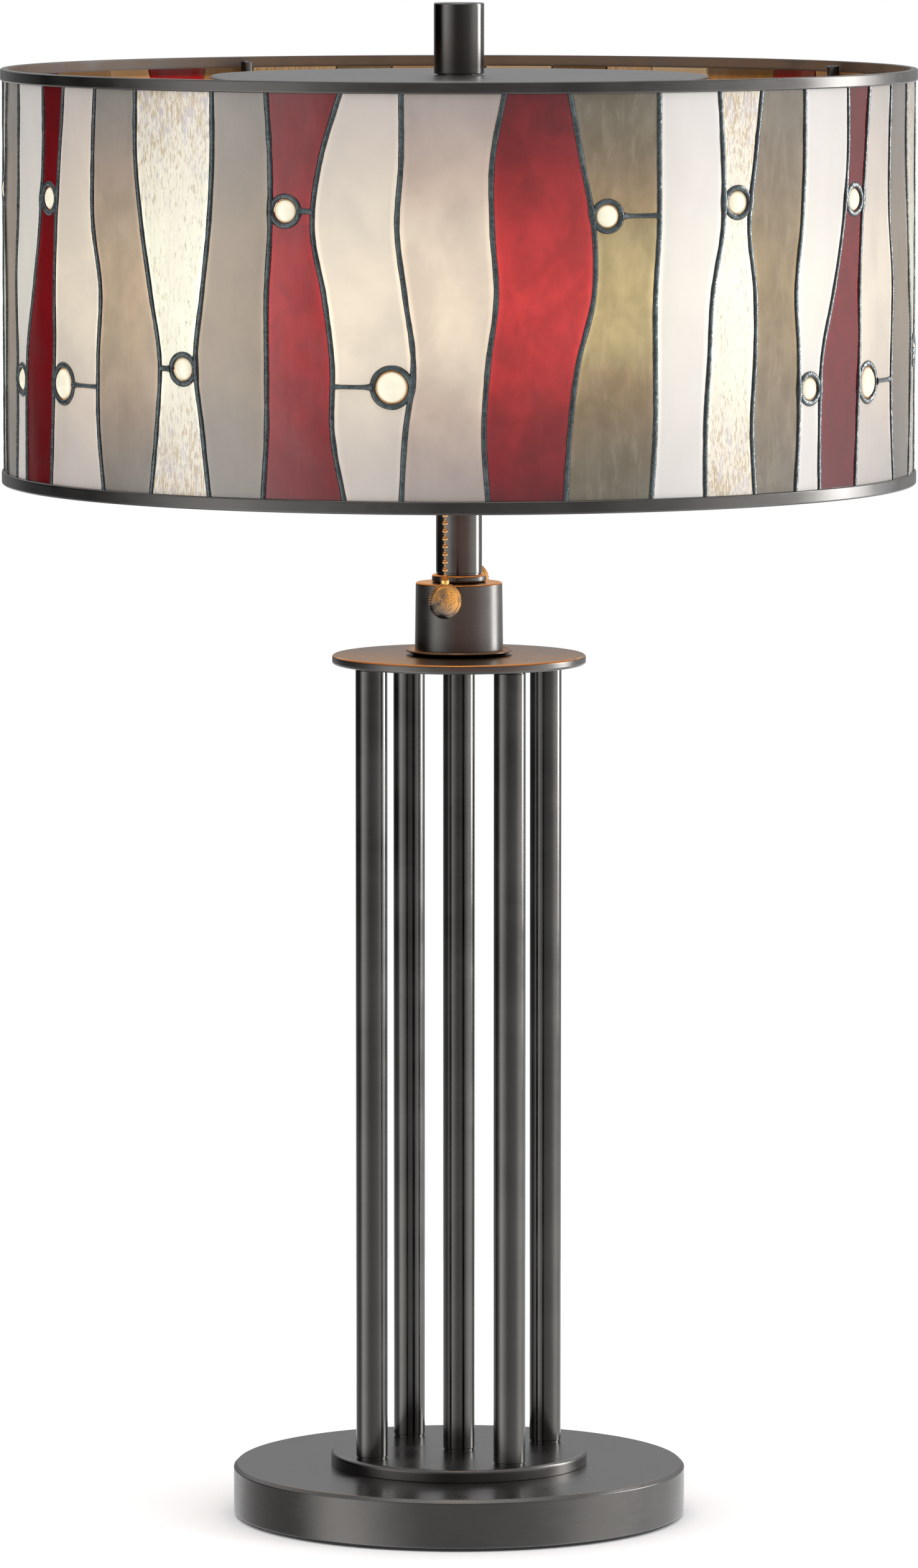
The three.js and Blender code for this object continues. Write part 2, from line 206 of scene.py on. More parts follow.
def make_stage():
    """The pale, round floor the lamp stands on."""
    floor_mesh = bpy.data.meshes.new("floor")
    shape = bmesh.new()
    bmesh.ops.create_circle(shape, cap_ends=True, segments=128, radius=FLOOR_RADIUS)
    shape.to_mesh(floor_mesh)
    shape.free()
    floor = bpy.data.objects.new("floor", floor_mesh)
    bpy.context.scene.collection.objects.link(floor)
    pale = bpy.data.materials.new("pale_floor")
    pale.use_nodes = True
    surface = pale.node_tree.nodes["Principled BSDF"]
    surface.inputs["Base Color"].default_value = (0.9, 0.9, 0.9, 1)
    surface.inputs["Roughness"].default_value = 0.9
    surface.inputs["Specular IOR Level"].default_value = 0.1
    floor_mesh.materials.append(pale)
    floor.visible_glossy = False


# What mirrors see round the lamp, as (turn, brightness): two soft windows with dark between and behind.
STUDIO = (
    (-180, 0.35), (-150, 0.3), (-132, 0.0), (-94, 0.0), (-87, 0.15), (-79, 1.3), (-71, 2.9),
    (-60, 3.0), (-46, 2.0), (-34, 1.15), (-22, 0.55), (-10, 0.3), (8, 0.36), (36, 0.6),
    (50, 0.9), (62, 1.7), (76, 2.6), (92, 2.6), (108, 1.5), (135, 0.6), (180, 0.35),
)
STUDIO_PEAK = 3.0
CEILING = (1.5, 1.5, 1.52, 1)
TABLE_LIGHT = 0.9
OVERHEAD = (4.5, 4.5, 4.5, 1)


def make_world():
    """A white backdrop. Mirrors see the studio ring, a bright ceiling and light from below instead."""
    world = bpy.data.worlds.new("studio")
    world.use_nodes = True
    bpy.context.scene.world = world
    tree = world.node_tree
    tree.nodes.clear()
    build = Builder(tree)
    direction = build.add("ShaderNodeTexCoord").outputs["Generated"]
    parts = build.add("ShaderNodeSeparateXYZ", {0: direction})
    turn = build.math("ARCTAN2", parts.outputs["X"], build.times(parts.outputs["Y"], -1))
    share = build.plus(build.over(turn, 2 * math.pi), 0.5)
    ring = build.ramp(share, [((t + 180) / 360, (v / STUDIO_PEAK,) * 3) for t, v in STUDIO])
    downward = build.smooth(parts.outputs["Z"], -0.165, -0.105, TABLE_LIGHT, 0.0)
    lift = build.xyz(downward, downward, downward)
    sides = build.vector("ADD", build.scale(ring, STUDIO_PEAK), lift)
    upward = build.smooth(parts.outputs["Z"], 0.12, 0.55)
    mirrored = build.mix(upward, sides, CEILING)
    mirrored = build.mix(build.smooth(parts.outputs["Z"], 0.9, 0.97), mirrored, OVERHEAD)
    path = build.add("ShaderNodeLightPath")
    seen = build.mix(path.outputs["Is Camera Ray"], (0.92, 0.92, 0.93, 1), (1.0, 1.0, 1.0, 1))
    final = build.mix(path.outputs["Is Glossy Ray"], seen, mirrored)
    background = build.add("ShaderNodeBackground", {"Color": final, "Strength": 1.0})
    build.add("ShaderNodeOutputWorld", {0: background.outputs[0]})


WARM = (1.0, 0.48, 0.18)


def light_the_lamp(metal, neck, rims):
    """Soft light from both sides and above, a strip for the metal, and warm light near the bulbs."""
    softbox("soft_right", (2.3, -0.9, 0.9), (1.1, 1.9), 2.7)
    softbox("soft_left", (-2.4, -1.3, 0.9), (1.1, 1.9), 0.9)
    softbox("overhead", (0, -0.2, 2.7), (2.6, 2.6), 1.25, aim=(0, 0, 0))
    level = 0.98
    place = (1.91, 0.585, level)
    strip = softbox("strip_right", place, (0.62, 1.8), 14.0, aim=(0, 0, level), mirrored=True)
    shine_only_on(strip, "strip_lit", metal)
    below = softbox("from_the_bulbs", (0, 0.02, 0.47), (0.3, 0.3), 1.3, WARM, mirrored=True)
    shine_only_on(below, "bulb_lit", neck)
    spill = bpy.data.lights.new("inside_spill", "POINT")
    spill.energy = 0.8
    spill.color = WARM
    spill.shadow_soft_size = 0.03
    inside = bpy.data.objects.new("inside_spill", spill)
    inside.location = (0, 0, 0.57)
    bpy.context.scene.collection.objects.link(inside)
    shine_only_on(inside, "spill_lit", rims)
    card = softbox("warm_card", (0.34, -0.94, 0.3), (2.0, 0.7), 0.5, (1.0, 0.45, 0.3), mirrored=True)
    shine_only_on(card, "card_lit", neck)


# ---------------------------------------------------------------- node building
class Builder:
    """Adds nodes to a tree. An input is a value or another node's output socket."""

    def __init__(self, tree):
        self.tree = tree

    def feed(self, socket, value):
        """Gives a socket what another node puts out, or a plain value."""
        if isinstance(value, bpy.types.NodeSocket):
            self.tree.links.new(value, socket)
        else:
            socket.default_value = value

    def add(self, kind, inputs=None, **settings):
        made = self.tree.nodes.new(kind)
        for name, value in settings.items():
            setattr(made, name, value)
        for key, value in (inputs or {}).items():
            self.feed(made.inputs[key], value)
        return made

    def first(self, kind, inputs=None, **settings):
        """Adds a node and gives back the first thing it puts out."""
        return self.add(kind, inputs, **settings).outputs[0]

    def math(self, operation, a, b=0.0, clamp=False):
        return self.first("ShaderNodeMath", {0: a, 1: b}, operation=operation, use_clamp=clamp)

    def plus(self, a, b):
        return self.math("ADD", a, b)

    def minus(self, a, b):
        return self.math("SUBTRACT", a, b)

    def times(self, a, b):
        return self.math("MULTIPLY", a, b)

    def over(self, a, b):
        return self.math("DIVIDE", a, b)

    def xyz(self, x, y, z):
        return self.first("ShaderNodeCombineXYZ", {0: x, 1: y, 2: z})

    def vector(self, operation, a, b=(0, 0, 0)):
        made = self.add("ShaderNodeVectorMath", {0: a, 1: b}, operation=operation)
        return made.outputs["Value" if operation in ("LENGTH", "DOT_PRODUCT") else "Vector"]

    def scale(self, vector, factor):
        made = self.add("ShaderNodeVectorMath", {0: vector, "Scale": factor}, operation="SCALE")
        return made.outputs["Vector"]

    def mix(self, factor, a, b):
        """Colour a where the factor is 0, colour b where it is 1."""
        made = self.add("ShaderNodeMix", data_type="RGBA")
        for index, value in ((0, factor), (6, a), (7, b)):
            self.feed(made.inputs[index], value)
        return made.outputs[2]

    def ramp(self, factor, stops):
        """A colour ramp through (position, colour) stops."""
        made = self.add("ShaderNodeValToRGB", {"Fac": factor})
        elements = made.color_ramp.elements
        while len(elements) > 1:
            elements.remove(elements[-1])
        elements[0].position, elements[0].color = stops[0][0], (*stops[0][1], 1)
        for position, colour in stops[1:]:
            elements.new(position).color = (*colour, 1)
        return made.outputs["Color"]

    def smooth(self, value, low, high, out_low=0.0, out_high=1.0):
        """Eases from one number to another as the value goes from low to high."""
        inputs = {"Value": value, "From Min": low, "From Max": high, "To Min": out_low, "To Max": out_high}
        made = self.add("ShaderNodeMapRange", inputs, interpolation_type="SMOOTHSTEP")
        return made.outputs["Result"]

    def noise(self, where, scale, detail=2.0, rough=0.5, distortion=0.0):
        inputs = {"Vector": where, "Scale": scale, "Detail": detail, "Roughness": rough}
        inputs["Distortion"] = distortion
        return self.add("ShaderNodeTexNoise", inputs).outputs["Fac"]


def new_group(name, kind, inputs, outputs):
    """A node group with named sockets: inputs are (name, socket type, default)."""
    group = bpy.data.node_groups.new(name, kind)
    for label, socket_type, default in inputs:
        socket = group.interface.new_socket(name=label, in_out="INPUT", socket_type=socket_type)
        if default is not None:
            socket.default_value = default
    for label, socket_type in outputs:
        group.interface.new_socket(name=label, in_out="OUTPUT", socket_type=socket_type)
    build = Builder(group)
    entry = group.nodes.new("NodeGroupInput")
    leave = group.nodes.new("NodeGroupOutput")
    return group, build, entry.outputs, leave.inputs


FLOAT, INTEGER = "NodeSocketFloat", "NodeSocketInt"
GEOMETRY, MATERIAL = "NodeSocketGeometry", "NodeSocketMaterial"


def object_place(build, stretch=(1, 1, 1), shift=None):
    """Where a point lies on its piece, stretched and shifted for a noise to read."""
    where = build.vector("MULTIPLY", build.add("ShaderNodeTexCoord").outputs["Object"], stretch)
    return build.vector("ADD", where, shift) if shift is not None else where


def own_value(build, name):
    """A value kept on the mesh, such as a pane's tone or how worn an edge is."""
    return build.add("ShaderNodeAttribute", attribute_name=name).outputs["Fac"]


def make_figure_group():
    """Soft clouds and vertical wisps in hand-rolled glass. Tone shifts them from pane to pane."""
    group, build, given, result = new_group(
        "glass_figure",
        "ShaderNodeTree",
        [("Cloud Scale", FLOAT, 60.0), ("Wisp Scale", FLOAT, 240.0), ("Tone", FLOAT, 0.0)],
        [("Cloud", FLOAT), ("Wisp", FLOAT)],
    )
    shift = build.xyz(given["Tone"], given["Tone"], given["Tone"])
    soft = build.noise(object_place(build, (1, 1, 0.7), shift), given["Cloud Scale"], 5.0, 0.52, 0.35)
    build.feed(result["Cloud"], build.smooth(soft, 0.25, 0.75))
    drawn = build.noise(object_place(build, (1, 1, 0.22), shift), given["Wisp Scale"], 4.0, 0.6, 0.6)
    build.feed(result["Wisp"], build.smooth(drawn, 0.48, 0.72))
    return group


def make_ripple_group():
    """Surface relief of rolled glass: slow waves and a fine vertical ribbing."""
    group, build, given, result = new_group(
        "glass_ripple",
        "ShaderNodeTree",
        [("Waves", FLOAT, 1.0), ("Ribs", FLOAT, 0.2), ("Tone", FLOAT, 0.0)],
        [("Height", FLOAT)],
    )
    shift = build.xyz(given["Tone"], 0.0, given["Tone"])
    slow = build.noise(object_place(build, (1, 1, 0.5), shift), 55.0, 2.0, 0.5, 0.4)
    ribs = build.noise(object_place(build, (1, 1, 0.08), shift), 380.0, 2.0, 0.5, 0.3)
    height = build.plus(build.times(slow, given["Waves"]), build.times(ribs, given["Ribs"]))
    build.feed(result["Height"], height)
    return group


GLOW_HEIGHT = 0.543


def make_glow_group():
    """How strongly the bulbs light the glass from within: a bell-shaped band round the drum."""
    group, build, given, result = new_group(
        "lamp_glow", "ShaderNodeTree", [("Spread", FLOAT, 0.035), ("Side", FLOAT, 0.68)], [("Glow", FLOAT)]
    )
    parts = build.add("ShaderNodeSeparateXYZ", {0: object_place(build)})
    wander = build.minus(build.noise(object_place(build), 30.0, 3.0), 0.5)
    height = build.plus(parts.outputs["Z"], build.times(wander, 0.02))
    away = build.over(build.minus(height, GLOW_HEIGHT), given["Spread"])
    bell = build.math("EXPONENT", build.times(build.times(away, away), -0.5))
    facing = build.over(build.math("ABSOLUTE", parts.outputs["Y"]), GLASS_OUTER)
    facing = build.smooth(facing, 0.1, 1.0, given["Side"], 1.0)
    uneven = build.plus(build.times(wander, 0.45), 1.0)
    band = build.times(build.times(bell, facing), uneven)
    build.feed(result["Glow"], band)
    return group


def make_edge_rub_group():
    """Where a plated edge has been rubbed through: the mesh's wear attribute broken up by noise."""
    group, build, given, result = new_group(
        "edge_rub",
        "ShaderNodeTree",
        [("Amount", FLOAT, 0.5), ("Scale", FLOAT, 40.0)],
        [("Mask", FLOAT)],
    )
    wear = own_value(build, "wear")
    patches = build.noise(object_place(build, (1, 1, 3)), given["Scale"], 3.0, 0.6)
    start = build.minus(0.78, build.times(given["Amount"], 0.5))
    broken = build.smooth(patches, start, build.plus(start, 0.16))
    sharp = build.smooth(wear, 0.45, 0.9)
    build.feed(result["Mask"], build.times(sharp, broken))
    return group


def make_patina_group():
    """Cloudy, slightly brushed tone of an oil-rubbed finish."""
    group, build, given, result = new_group(
        "patina",
        "ShaderNodeTree",
        [("Scale", FLOAT, 25.0), ("Brush", FLOAT, 0.3)],
        [("Cloud", FLOAT), ("Height", FLOAT)],
    )
    cloud = build.noise(object_place(build), given["Scale"], 4.0, 0.55, 0.3)
    brushed = build.noise(object_place(build, (1, 1, 14)), 90.0, 3.0, 0.6)
    grain = build.noise(object_place(build), 1400.0, 2.0, 0.5)
    strokes = build.times(build.minus(brushed, 0.5), given["Brush"])
    build.feed(result["Cloud"], build.plus(cloud, strokes))
    build.feed(result["Height"], build.plus(build.times(grain, 0.5), brushed))
    return group


def new_material(name):
    """A material, a Builder for its tree and its Principled shader."""
    material = bpy.data.materials.new(name)
    material.use_nodes = True
    tree = material.node_tree
    surface = tree.nodes["Principled BSDF"]
    return material, Builder(tree), surface


def use_group(build, group, **inputs):
    """Places a node group and gives back its outputs."""
    placed = build.add("ShaderNodeGroup", node_tree=group)
    for label, value in inputs.items():
        build.feed(placed.inputs[label], value)
    return placed.outputs


def set_surface(build, surface, **values):
    """Feeds the shader's inputs, named with _ for each space."""
    for label, value in values.items():
        build.feed(surface.inputs[label.replace("_", " ")], value)


def bump(build, surface, height, strength, distance):
    """Surface relief that is shaded but not modelled."""
    made = build.add("ShaderNodeBump", {"Height": height, "Strength": strength, "Distance": distance})
    build.feed(surface.inputs["Normal"], made.outputs["Normal"])


# ---------------------------------------------------------------- materials
# The kinds of glass. Body, cloud and wisp are colours, and cloudy and wispy say how much of the last two
# shows. Lit is what the bulbs add, spread is how far their light reaches up and down, cloud_scale is how
# fine the clouds are, and warming is how amber the light turns as it fades.
GLASS = {
    "deep_red": {
        "body": (0.115, 0.005, 0.008), "cloud": (0.08, 0.002, 0.003),
        "wisp": (0.12, 0.01, 0.01), "lit": (0.075, 0, 0),
        "cloudy": 0.8, "wispy": 0.1, "spread": 0.035, "cloud_scale": 120.0, "warming": 0,
    },
    "rose_red": {
        "body": (0.135, 0.006, 0.009), "cloud": (0.095, 0.002, 0.004),
        "wisp": (0.2, 0.03, 0.035), "lit": (0.2, 0, 0),
        "cloudy": 0.9, "wispy": 0.12, "spread": 0.036, "cloud_scale": 120.0, "warming": 0,
    },
    "bright_red": {
        "body": (0.125, 0.014, 0.018), "cloud": (0.075, 0.008, 0.01),
        "wisp": (0.17, 0.03, 0.035), "lit": (0.45, 0.028, 0.024),
        "cloudy": 0.9, "wispy": 0.12, "spread": 0.034, "cloud_scale": 95.0, "warming": 0,
    },
    "ivory": {
        "body": (0.415, 0.403, 0.4), "cloud": (0.365, 0.35, 0.34),
        "wisp": (0.43, 0.415, 0.395), "lit": (0.42, 0.32, 0.17),
        "cloudy": 0.6, "wispy": 0.1, "spread": 0.047, "cloud_scale": 38.0, "warming": 0.6,
    },
    "warm_ivory": {
        "body": (0.32, 0.29, 0.28), "cloud": (0.26, 0.225, 0.21),
        "wisp": (0.33, 0.3, 0.28), "lit": (0.52, 0.41, 0.26),
        "cloudy": 0.7, "wispy": 0.1, "spread": 0.036, "cloud_scale": 45.0, "warming": 0.8,
    },
    "taupe": {
        "body": (0.205, 0.21, 0.2), "cloud": (0.16, 0.155, 0.135),
        "wisp": (0.26, 0.24, 0.205), "lit": (0.35, 0.21, 0.09),
        "cloudy": 0.8, "wispy": 0.25, "spread": 0.038, "cloud_scale": 60.0, "warming": 0.7,
    },
    "umber": {
        "body": (0.134, 0.118, 0.087), "cloud": (0.092, 0.073, 0.045),
        "wisp": (0.23, 0.19, 0.13), "lit": (0.18, 0.1, 0.012),
        "cloudy": 0.9, "wispy": 0.4, "spread": 0.034, "cloud_scale": 90.0, "warming": 0.7,
    },
    "grey": {
        "body": (0.18, 0.17, 0.158), "cloud": (0.152, 0.14, 0.126),
        "wisp": (0.215, 0.2, 0.178), "lit": (0.14, 0.08, 0.02),
        "cloudy": 0.6, "wispy": 0.2, "spread": 0.045, "cloud_scale": 50.0, "warming": 0,
    },
    "olive": {
        "body": (0.132, 0.121, 0.094), "cloud": (0.095, 0.082, 0.054),
        "wisp": (0.24, 0.21, 0.155), "lit": (0.37, 0.265, 0.09),
        "cloudy": 0.8, "wispy": 0.35, "spread": 0.03, "cloud_scale": 90.0, "warming": 1,
    },
    "white": {
        "body": (0.565, 0.542, 0.525), "cloud": (0.52, 0.492, 0.47),
        "wisp": (0.57, 0.545, 0.525), "lit": (0.19, 0.17, 0.1),
        "cloudy": 0.5, "wispy": 0.08, "spread": 0.045, "cloud_scale": 40.0, "warming": 0.3,
    },
    "clear": {
        "body": (0.63, 0.56, 0.475), "cloud": (0.59, 0.52, 0.44),
        "wisp": (0.67, 0.6, 0.52), "lit": (0.28, 0.33, 0.23),
        "cloudy": 0.5, "wispy": 0.1, "spread": 0.045, "cloud_scale": 50.0, "warming": 0,
    },
}
# What the inner face shows, lit by the bulbs and seen over the rim.
INNER_LIGHT = {"red": (2.6, 0.8, 0.9), "pale": (1.25, 1.1, 0.8), "other": (1.5, 0.6, 0.13)}
RUN_BROWN = (0.40, 0.29, 0.18, 1)
RUN_GREY = (0.42, 0.37, 0.39, 1)
WARM_TURN = (1.2, 0.78, 0.5)
# Painted shade: the panes' inner faces are darkened in base colour, as the inside of the drum gets little
# of the room's light.
INNER_PAINTED_SHADE = (0.3, 0.2, 0.1, 1)
RUBBED_COPPER = (0.20, 0.105, 0.038, 1)
# Black of the deepest tarnish, also the darkest painted shade on the pendant.
BLACK_TARNISH_AND_SHADE = (0.006, 0.005, 0.005)


def drizzle(build, glow):
    """Rippled clear glass seen against the light: fine dark runs, fewer where the bulbs shine through."""
    runs = build.noise(object_place(build, (1, 1, 0.2)), 1400.0, 2.0, 0.55, 0.5)
    patches = build.noise(object_place(build, (1, 1, 0.5)), 160.0, 2.0)
    few = build.smooth(glow, 0.1, 0.8, 0.47, 0.61)
    few = build.plus(few, build.times(build.minus(0.5, patches), 0.2))
    mask = build.smooth(build.minus(runs, few), -0.05, 0.09, 0.0, 0.85)
    tint = build.noise(object_place(build, (1, 1, 0.4)), 300.0, 1.0)
    return mask, build.mix(build.smooth(tint, 0.45, 0.6), RUN_BROWN, RUN_GREY)


def inner_light(kind):
    """How strongly each colour channel of a kind of glass shows on its lit inner face."""
    family = "red" if "red" in kind else "pale" if kind in ("clear", "white") else "other"
    return INNER_LIGHT[family]


def art_glass(kind, groups):
    """Clouded, hand-rolled glass that glows where the bulbs stand behind it."""
    glass = GLASS[kind]
    lit, cloudy = glass["lit"], glass["cloudy"]
    material, build, surface = new_material("glass_" + kind)
    tone = own_value(build, "tone")
    figure = use_group(build, groups["glass_figure"], **{"Tone": tone, "Cloud Scale": glass["cloud_scale"]})
    clouds = build.times(figure["Cloud"], cloudy)
    colour = build.mix(clouds, (*glass["body"], 1), (*glass["cloud"], 1))
    colour = build.mix(build.times(figure["Wisp"], glass["wispy"]), colour, (*glass["wisp"], 1))
    glow = use_group(build, groups["lamp_glow"], Spread=glass["spread"])["Glow"]
    inside = own_value(build, "inside")
    strength = build.times(glow, build.smooth(figure["Cloud"], 0.0, 1.0, 1.1, 1.0 - 0.25 * cloudy))
    if kind == "clear":
        runs, run_colour = drizzle(build, glow)
        colour = build.mix(runs, colour, run_colour)
        strength = build.times(strength, build.smooth(runs, 0.0, 1.0, 1.0, 0.6))
    # Painted highlight: panes brighter along their lead lines, in base colour and glow alike, most where
    # they glow.
    lead_edge_highlight = own_value(build, "lead_edge_highlight")
    gain = build.plus(build.times(glow, 0.3), 0.1)
    edge_light = build.plus(build.times(lead_edge_highlight, gain), 1.0)
    # Painted shade on the inner faces.
    shade = build.mix(inside, (1, 1, 1, 1), INNER_PAINTED_SHADE)
    face = build.vector("MULTIPLY", build.scale(colour, edge_light), shade)
    set_surface(build, surface, Base_Color=face)
    warming = glass["warming"]
    turned_warm = tuple(channel * (1 + warming * (turn - 1)) for channel, turn in zip(lit, WARM_TURN))
    lit_colour = build.mix(build.smooth(glow, 0.1, 0.8), (*turned_warm, 1), (*lit, 1))
    shining = build.scale(lit_colour, build.times(strength, edge_light))
    height = build.add("ShaderNodeSeparateXYZ", {0: object_place(build)}).outputs["Z"]
    # Painted shadow of the top rim: the inner faces' glow fades just below it.
    painted_rim_shadow = build.smooth(height, GLASS_TOP - 5 * MM, GLASS_TOP - 2 * MM, 1.0, 0.12)
    within = build.scale(build.vector("MULTIPLY", colour, inner_light(kind)), painted_rim_shadow)
    set_surface(build, surface, Emission_Color=build.mix(inside, shining, within))
    set_surface(build, surface, Emission_Strength=1.0, IOR=1.5)
    set_surface(build, surface, Roughness=build.smooth(figure["Cloud"], 0.0, 1.0, 0.13, 0.2))
    ribs = 1.0 if kind == "clear" else 0.12
    relief = use_group(build, groups["glass_ripple"], Ribs=ribs, Tone=tone)["Height"]
    bump(build, surface, relief, 0.35, 0.0006)
    return material


def jewel_glass():
    """Cream cabochons with a painted glow of the bulbs' light behind them, brightest in the middle, amber
    at the rim.
    """
    material, build, surface = new_material("jewel_glass")
    rim = own_value(build, "rim")
    body = build.ramp(rim, [(0.0, (0.5, 0.47, 0.4)), (0.82, (0.5, 0.46, 0.38)), (0.97, (0.3, 0.15, 0.05))])
    set_surface(build, surface, Base_Color=body)
    lit = build.ramp(rim, [(0.0, (0.4, 0.39, 0.29)), (0.82, (0.4, 0.37, 0.25)), (0.97, (0.2, 0.08, 0.015))])
    set_surface(build, surface, Emission_Color=lit)
    set_surface(build, surface, Emission_Strength=1.0, IOR=1.52, Roughness=0.08)
    height = build.noise(object_place(build), 240.0, 2.0)
    bump(build, surface, height, 0.25, 0.0004)
    return material


def bronze(name, groups, tint=(0.066, 0.063, 0.060), rub=0.35, roughness=0.3, brush=0.3, relief=0.06):
    """Oil-rubbed bronze: near-black, satin, with copper where edges have been rubbed."""
    material, build, surface = new_material(name)
    patina = use_group(build, groups["patina"], Brush=brush)
    dark = tuple(channel * 0.8 for channel in tint)
    colour = build.mix(build.smooth(patina["Cloud"], 0.3, 0.7), (*dark, 1), (*tint, 1))
    worn = use_group(build, groups["edge_rub"], Amount=rub)["Mask"]
    colour = build.mix(worn, colour, RUBBED_COPPER)
    rough = build.smooth(patina["Cloud"], 0.25, 0.75, roughness - 0.05, roughness + 0.07)
    set_surface(build, surface, Base_Color=colour, Roughness=rough, Metallic=1.0)
    bump(build, surface, patina["Height"], relief, 0.0001)
    return material


def brass(
    name, groups, tint=(0.50, 0.29, 0.09), tarnish_and_shade_tone=(0.12, 0.08, 0.045), roughness=0.26, mottle=0.35
):
    """Antique brass: warm metal that tarnishes grey brown, then black in the hollows. The same ramp paints
    the pendant's shade.
    """
    material, build, surface = new_material(name)
    patina = use_group(build, groups["patina"], Scale=160.0, Brush=0.1)
    # real tarnish, plus painted shade on the pendant's lower side
    tarnish_and_shade = own_value(build, "tarnish_and_shade")
    tarnish_with_shade = build.math("ADD", tarnish_and_shade, build.smooth(patina["Cloud"], 0.45, 0.75, 0.0, mottle), clamp=True)
    colour = build.ramp(tarnish_with_shade, [(0.0, tint), (0.6, tarnish_and_shade_tone), (1.0, BLACK_TARNISH_AND_SHADE)])
    rough = build.smooth(patina["Cloud"], 0.3, 0.7, roughness - 0.05, roughness + 0.1)
    set_surface(build, surface, Base_Color=colour, Roughness=rough, Metallic=1.0)
    bump(build, surface, patina["Height"], 0.1, 0.0001)
    return material


def lead_solder(groups):
    """Soldered lead under a patina: black flanks as painted shade, and a teal grey, unevenly bright crown
    as painted highlight.
    """
    material, build, surface = new_material("lead_solder")
    coordinates = build.add("ShaderNodeTexCoord")
    outward = build.vector("NORMALIZE", build.vector("MULTIPLY", coordinates.outputs["Object"], (1, 1, 0)))
    # Painted highlight and shade: grey where the solder faces outward, black on its flanks.
    crown = build.smooth(build.vector("DOT_PRODUCT", coordinates.outputs["Normal"], outward), 0.8, 0.98)
    cloud = use_group(build, groups["patina"], Scale=120.0)["Cloud"]
    grey = build.mix(build.smooth(cloud, 0.35, 0.7), (0.018, 0.027, 0.03, 1), (0.055, 0.079, 0.084, 1))
    colour = build.mix(crown, (0.003, 0.004, 0.005, 1), grey)
    set_surface(build, surface, Base_Color=colour)
    lumps = build.noise(object_place(build), 480.0, 2.0, 0.5)
    set_surface(build, surface, Roughness=build.smooth(lumps, 0.3, 0.7, 0.16, 0.34))
    set_surface(build, surface, Metallic=0.1, IOR=1.45)
    bump(build, surface, lumps, 0.5, 0.0009)
    return material


def zinc_steel(groups):
    """Pale, zinc-plated steel of the hardware."""
    material, build, surface = new_material("zinc_steel")
    patina = use_group(build, groups["patina"], Scale=60.0, Brush=0.5)
    colour = build.mix(build.smooth(patina["Cloud"], 0.3, 0.7), (0.5, 0.49, 0.46, 1), (0.62, 0.62, 0.6, 1))
    set_surface(build, surface, Base_Color=colour)
    set_surface(build, surface, Roughness=build.smooth(patina["Cloud"], 0.3, 0.7, 0.28, 0.42))
    set_surface(build, surface, Metallic=1.0)
    bump(build, surface, patina["Height"], 0.2, 0.0001)
    return material


def rim_inside_painted_shade(groups):
    """The unpolished inner face of a rim: dull brown, kept darker than the outer band as painted shade
    inside the drum.
    """
    material, build, surface = new_material("rim_inside_painted_shade")
    cloud = use_group(build, groups["patina"], Scale=60.0)["Cloud"]
    colour = build.mix(build.smooth(cloud, 0.3, 0.7), (0.012, 0.007, 0.004, 1), (0.03, 0.016, 0.008, 1))
    set_surface(build, surface, Base_Color=colour)
    set_surface(build, surface, Roughness=build.smooth(cloud, 0.3, 0.7, 0.5, 0.65))
    return material


def felt():
    """Black felt with a faint nap."""
    material, build, surface = new_material("felt")
    fibres = build.noise(object_place(build, (1, 1, 2)), 900.0, 4.0, 0.7, 0.8)
    colour = build.mix(fibres, (0.008, 0.008, 0.009, 1), (0.035, 0.035, 0.037, 1))
    set_surface(build, surface, Base_Color=colour, Roughness=0.95, Sheen_Weight=0.3)
    bump(build, surface, fibres, 0.6, 0.0005)
    return material


def rubber():
    """Dull black rubber."""
    material, build, surface = new_material("rubber")
    grain = build.noise(object_place(build), 700.0, 2.0)
    colour = build.mix(grain, (0.012, 0.012, 0.012, 1), (0.025, 0.025, 0.026, 1))
    set_surface(build, surface, Base_Color=colour, Roughness=0.6)
    bump(build, surface, grain, 0.2, 0.0002)
    return material


BULB_BRIGHTNESS = 9.0


def frosted_bulb():
    """A lit, frosted bulb: white glow, a little dimmer towards its neck."""
    material, build, surface = new_material("frosted_bulb")
    along = own_value(build, "along")
    stops = [(0.0, (0.55, 0.36, 0.18)), (0.35, (1.0, 0.74, 0.45)), (1.0, (1.0, 0.82, 0.56))]
    glow = build.ramp(along, stops)
    speck = build.noise(object_place(build), 900.0, 1.0)
    set_surface(build, surface, Emission_Color=glow)
    set_surface(build, surface, Base_Color=build.mix(speck, (0.86, 0.84, 0.8, 1), (0.93, 0.92, 0.9, 1)))
    set_surface(build, surface, Emission_Strength=BULB_BRIGHTNESS, Roughness=0.45)
    return material


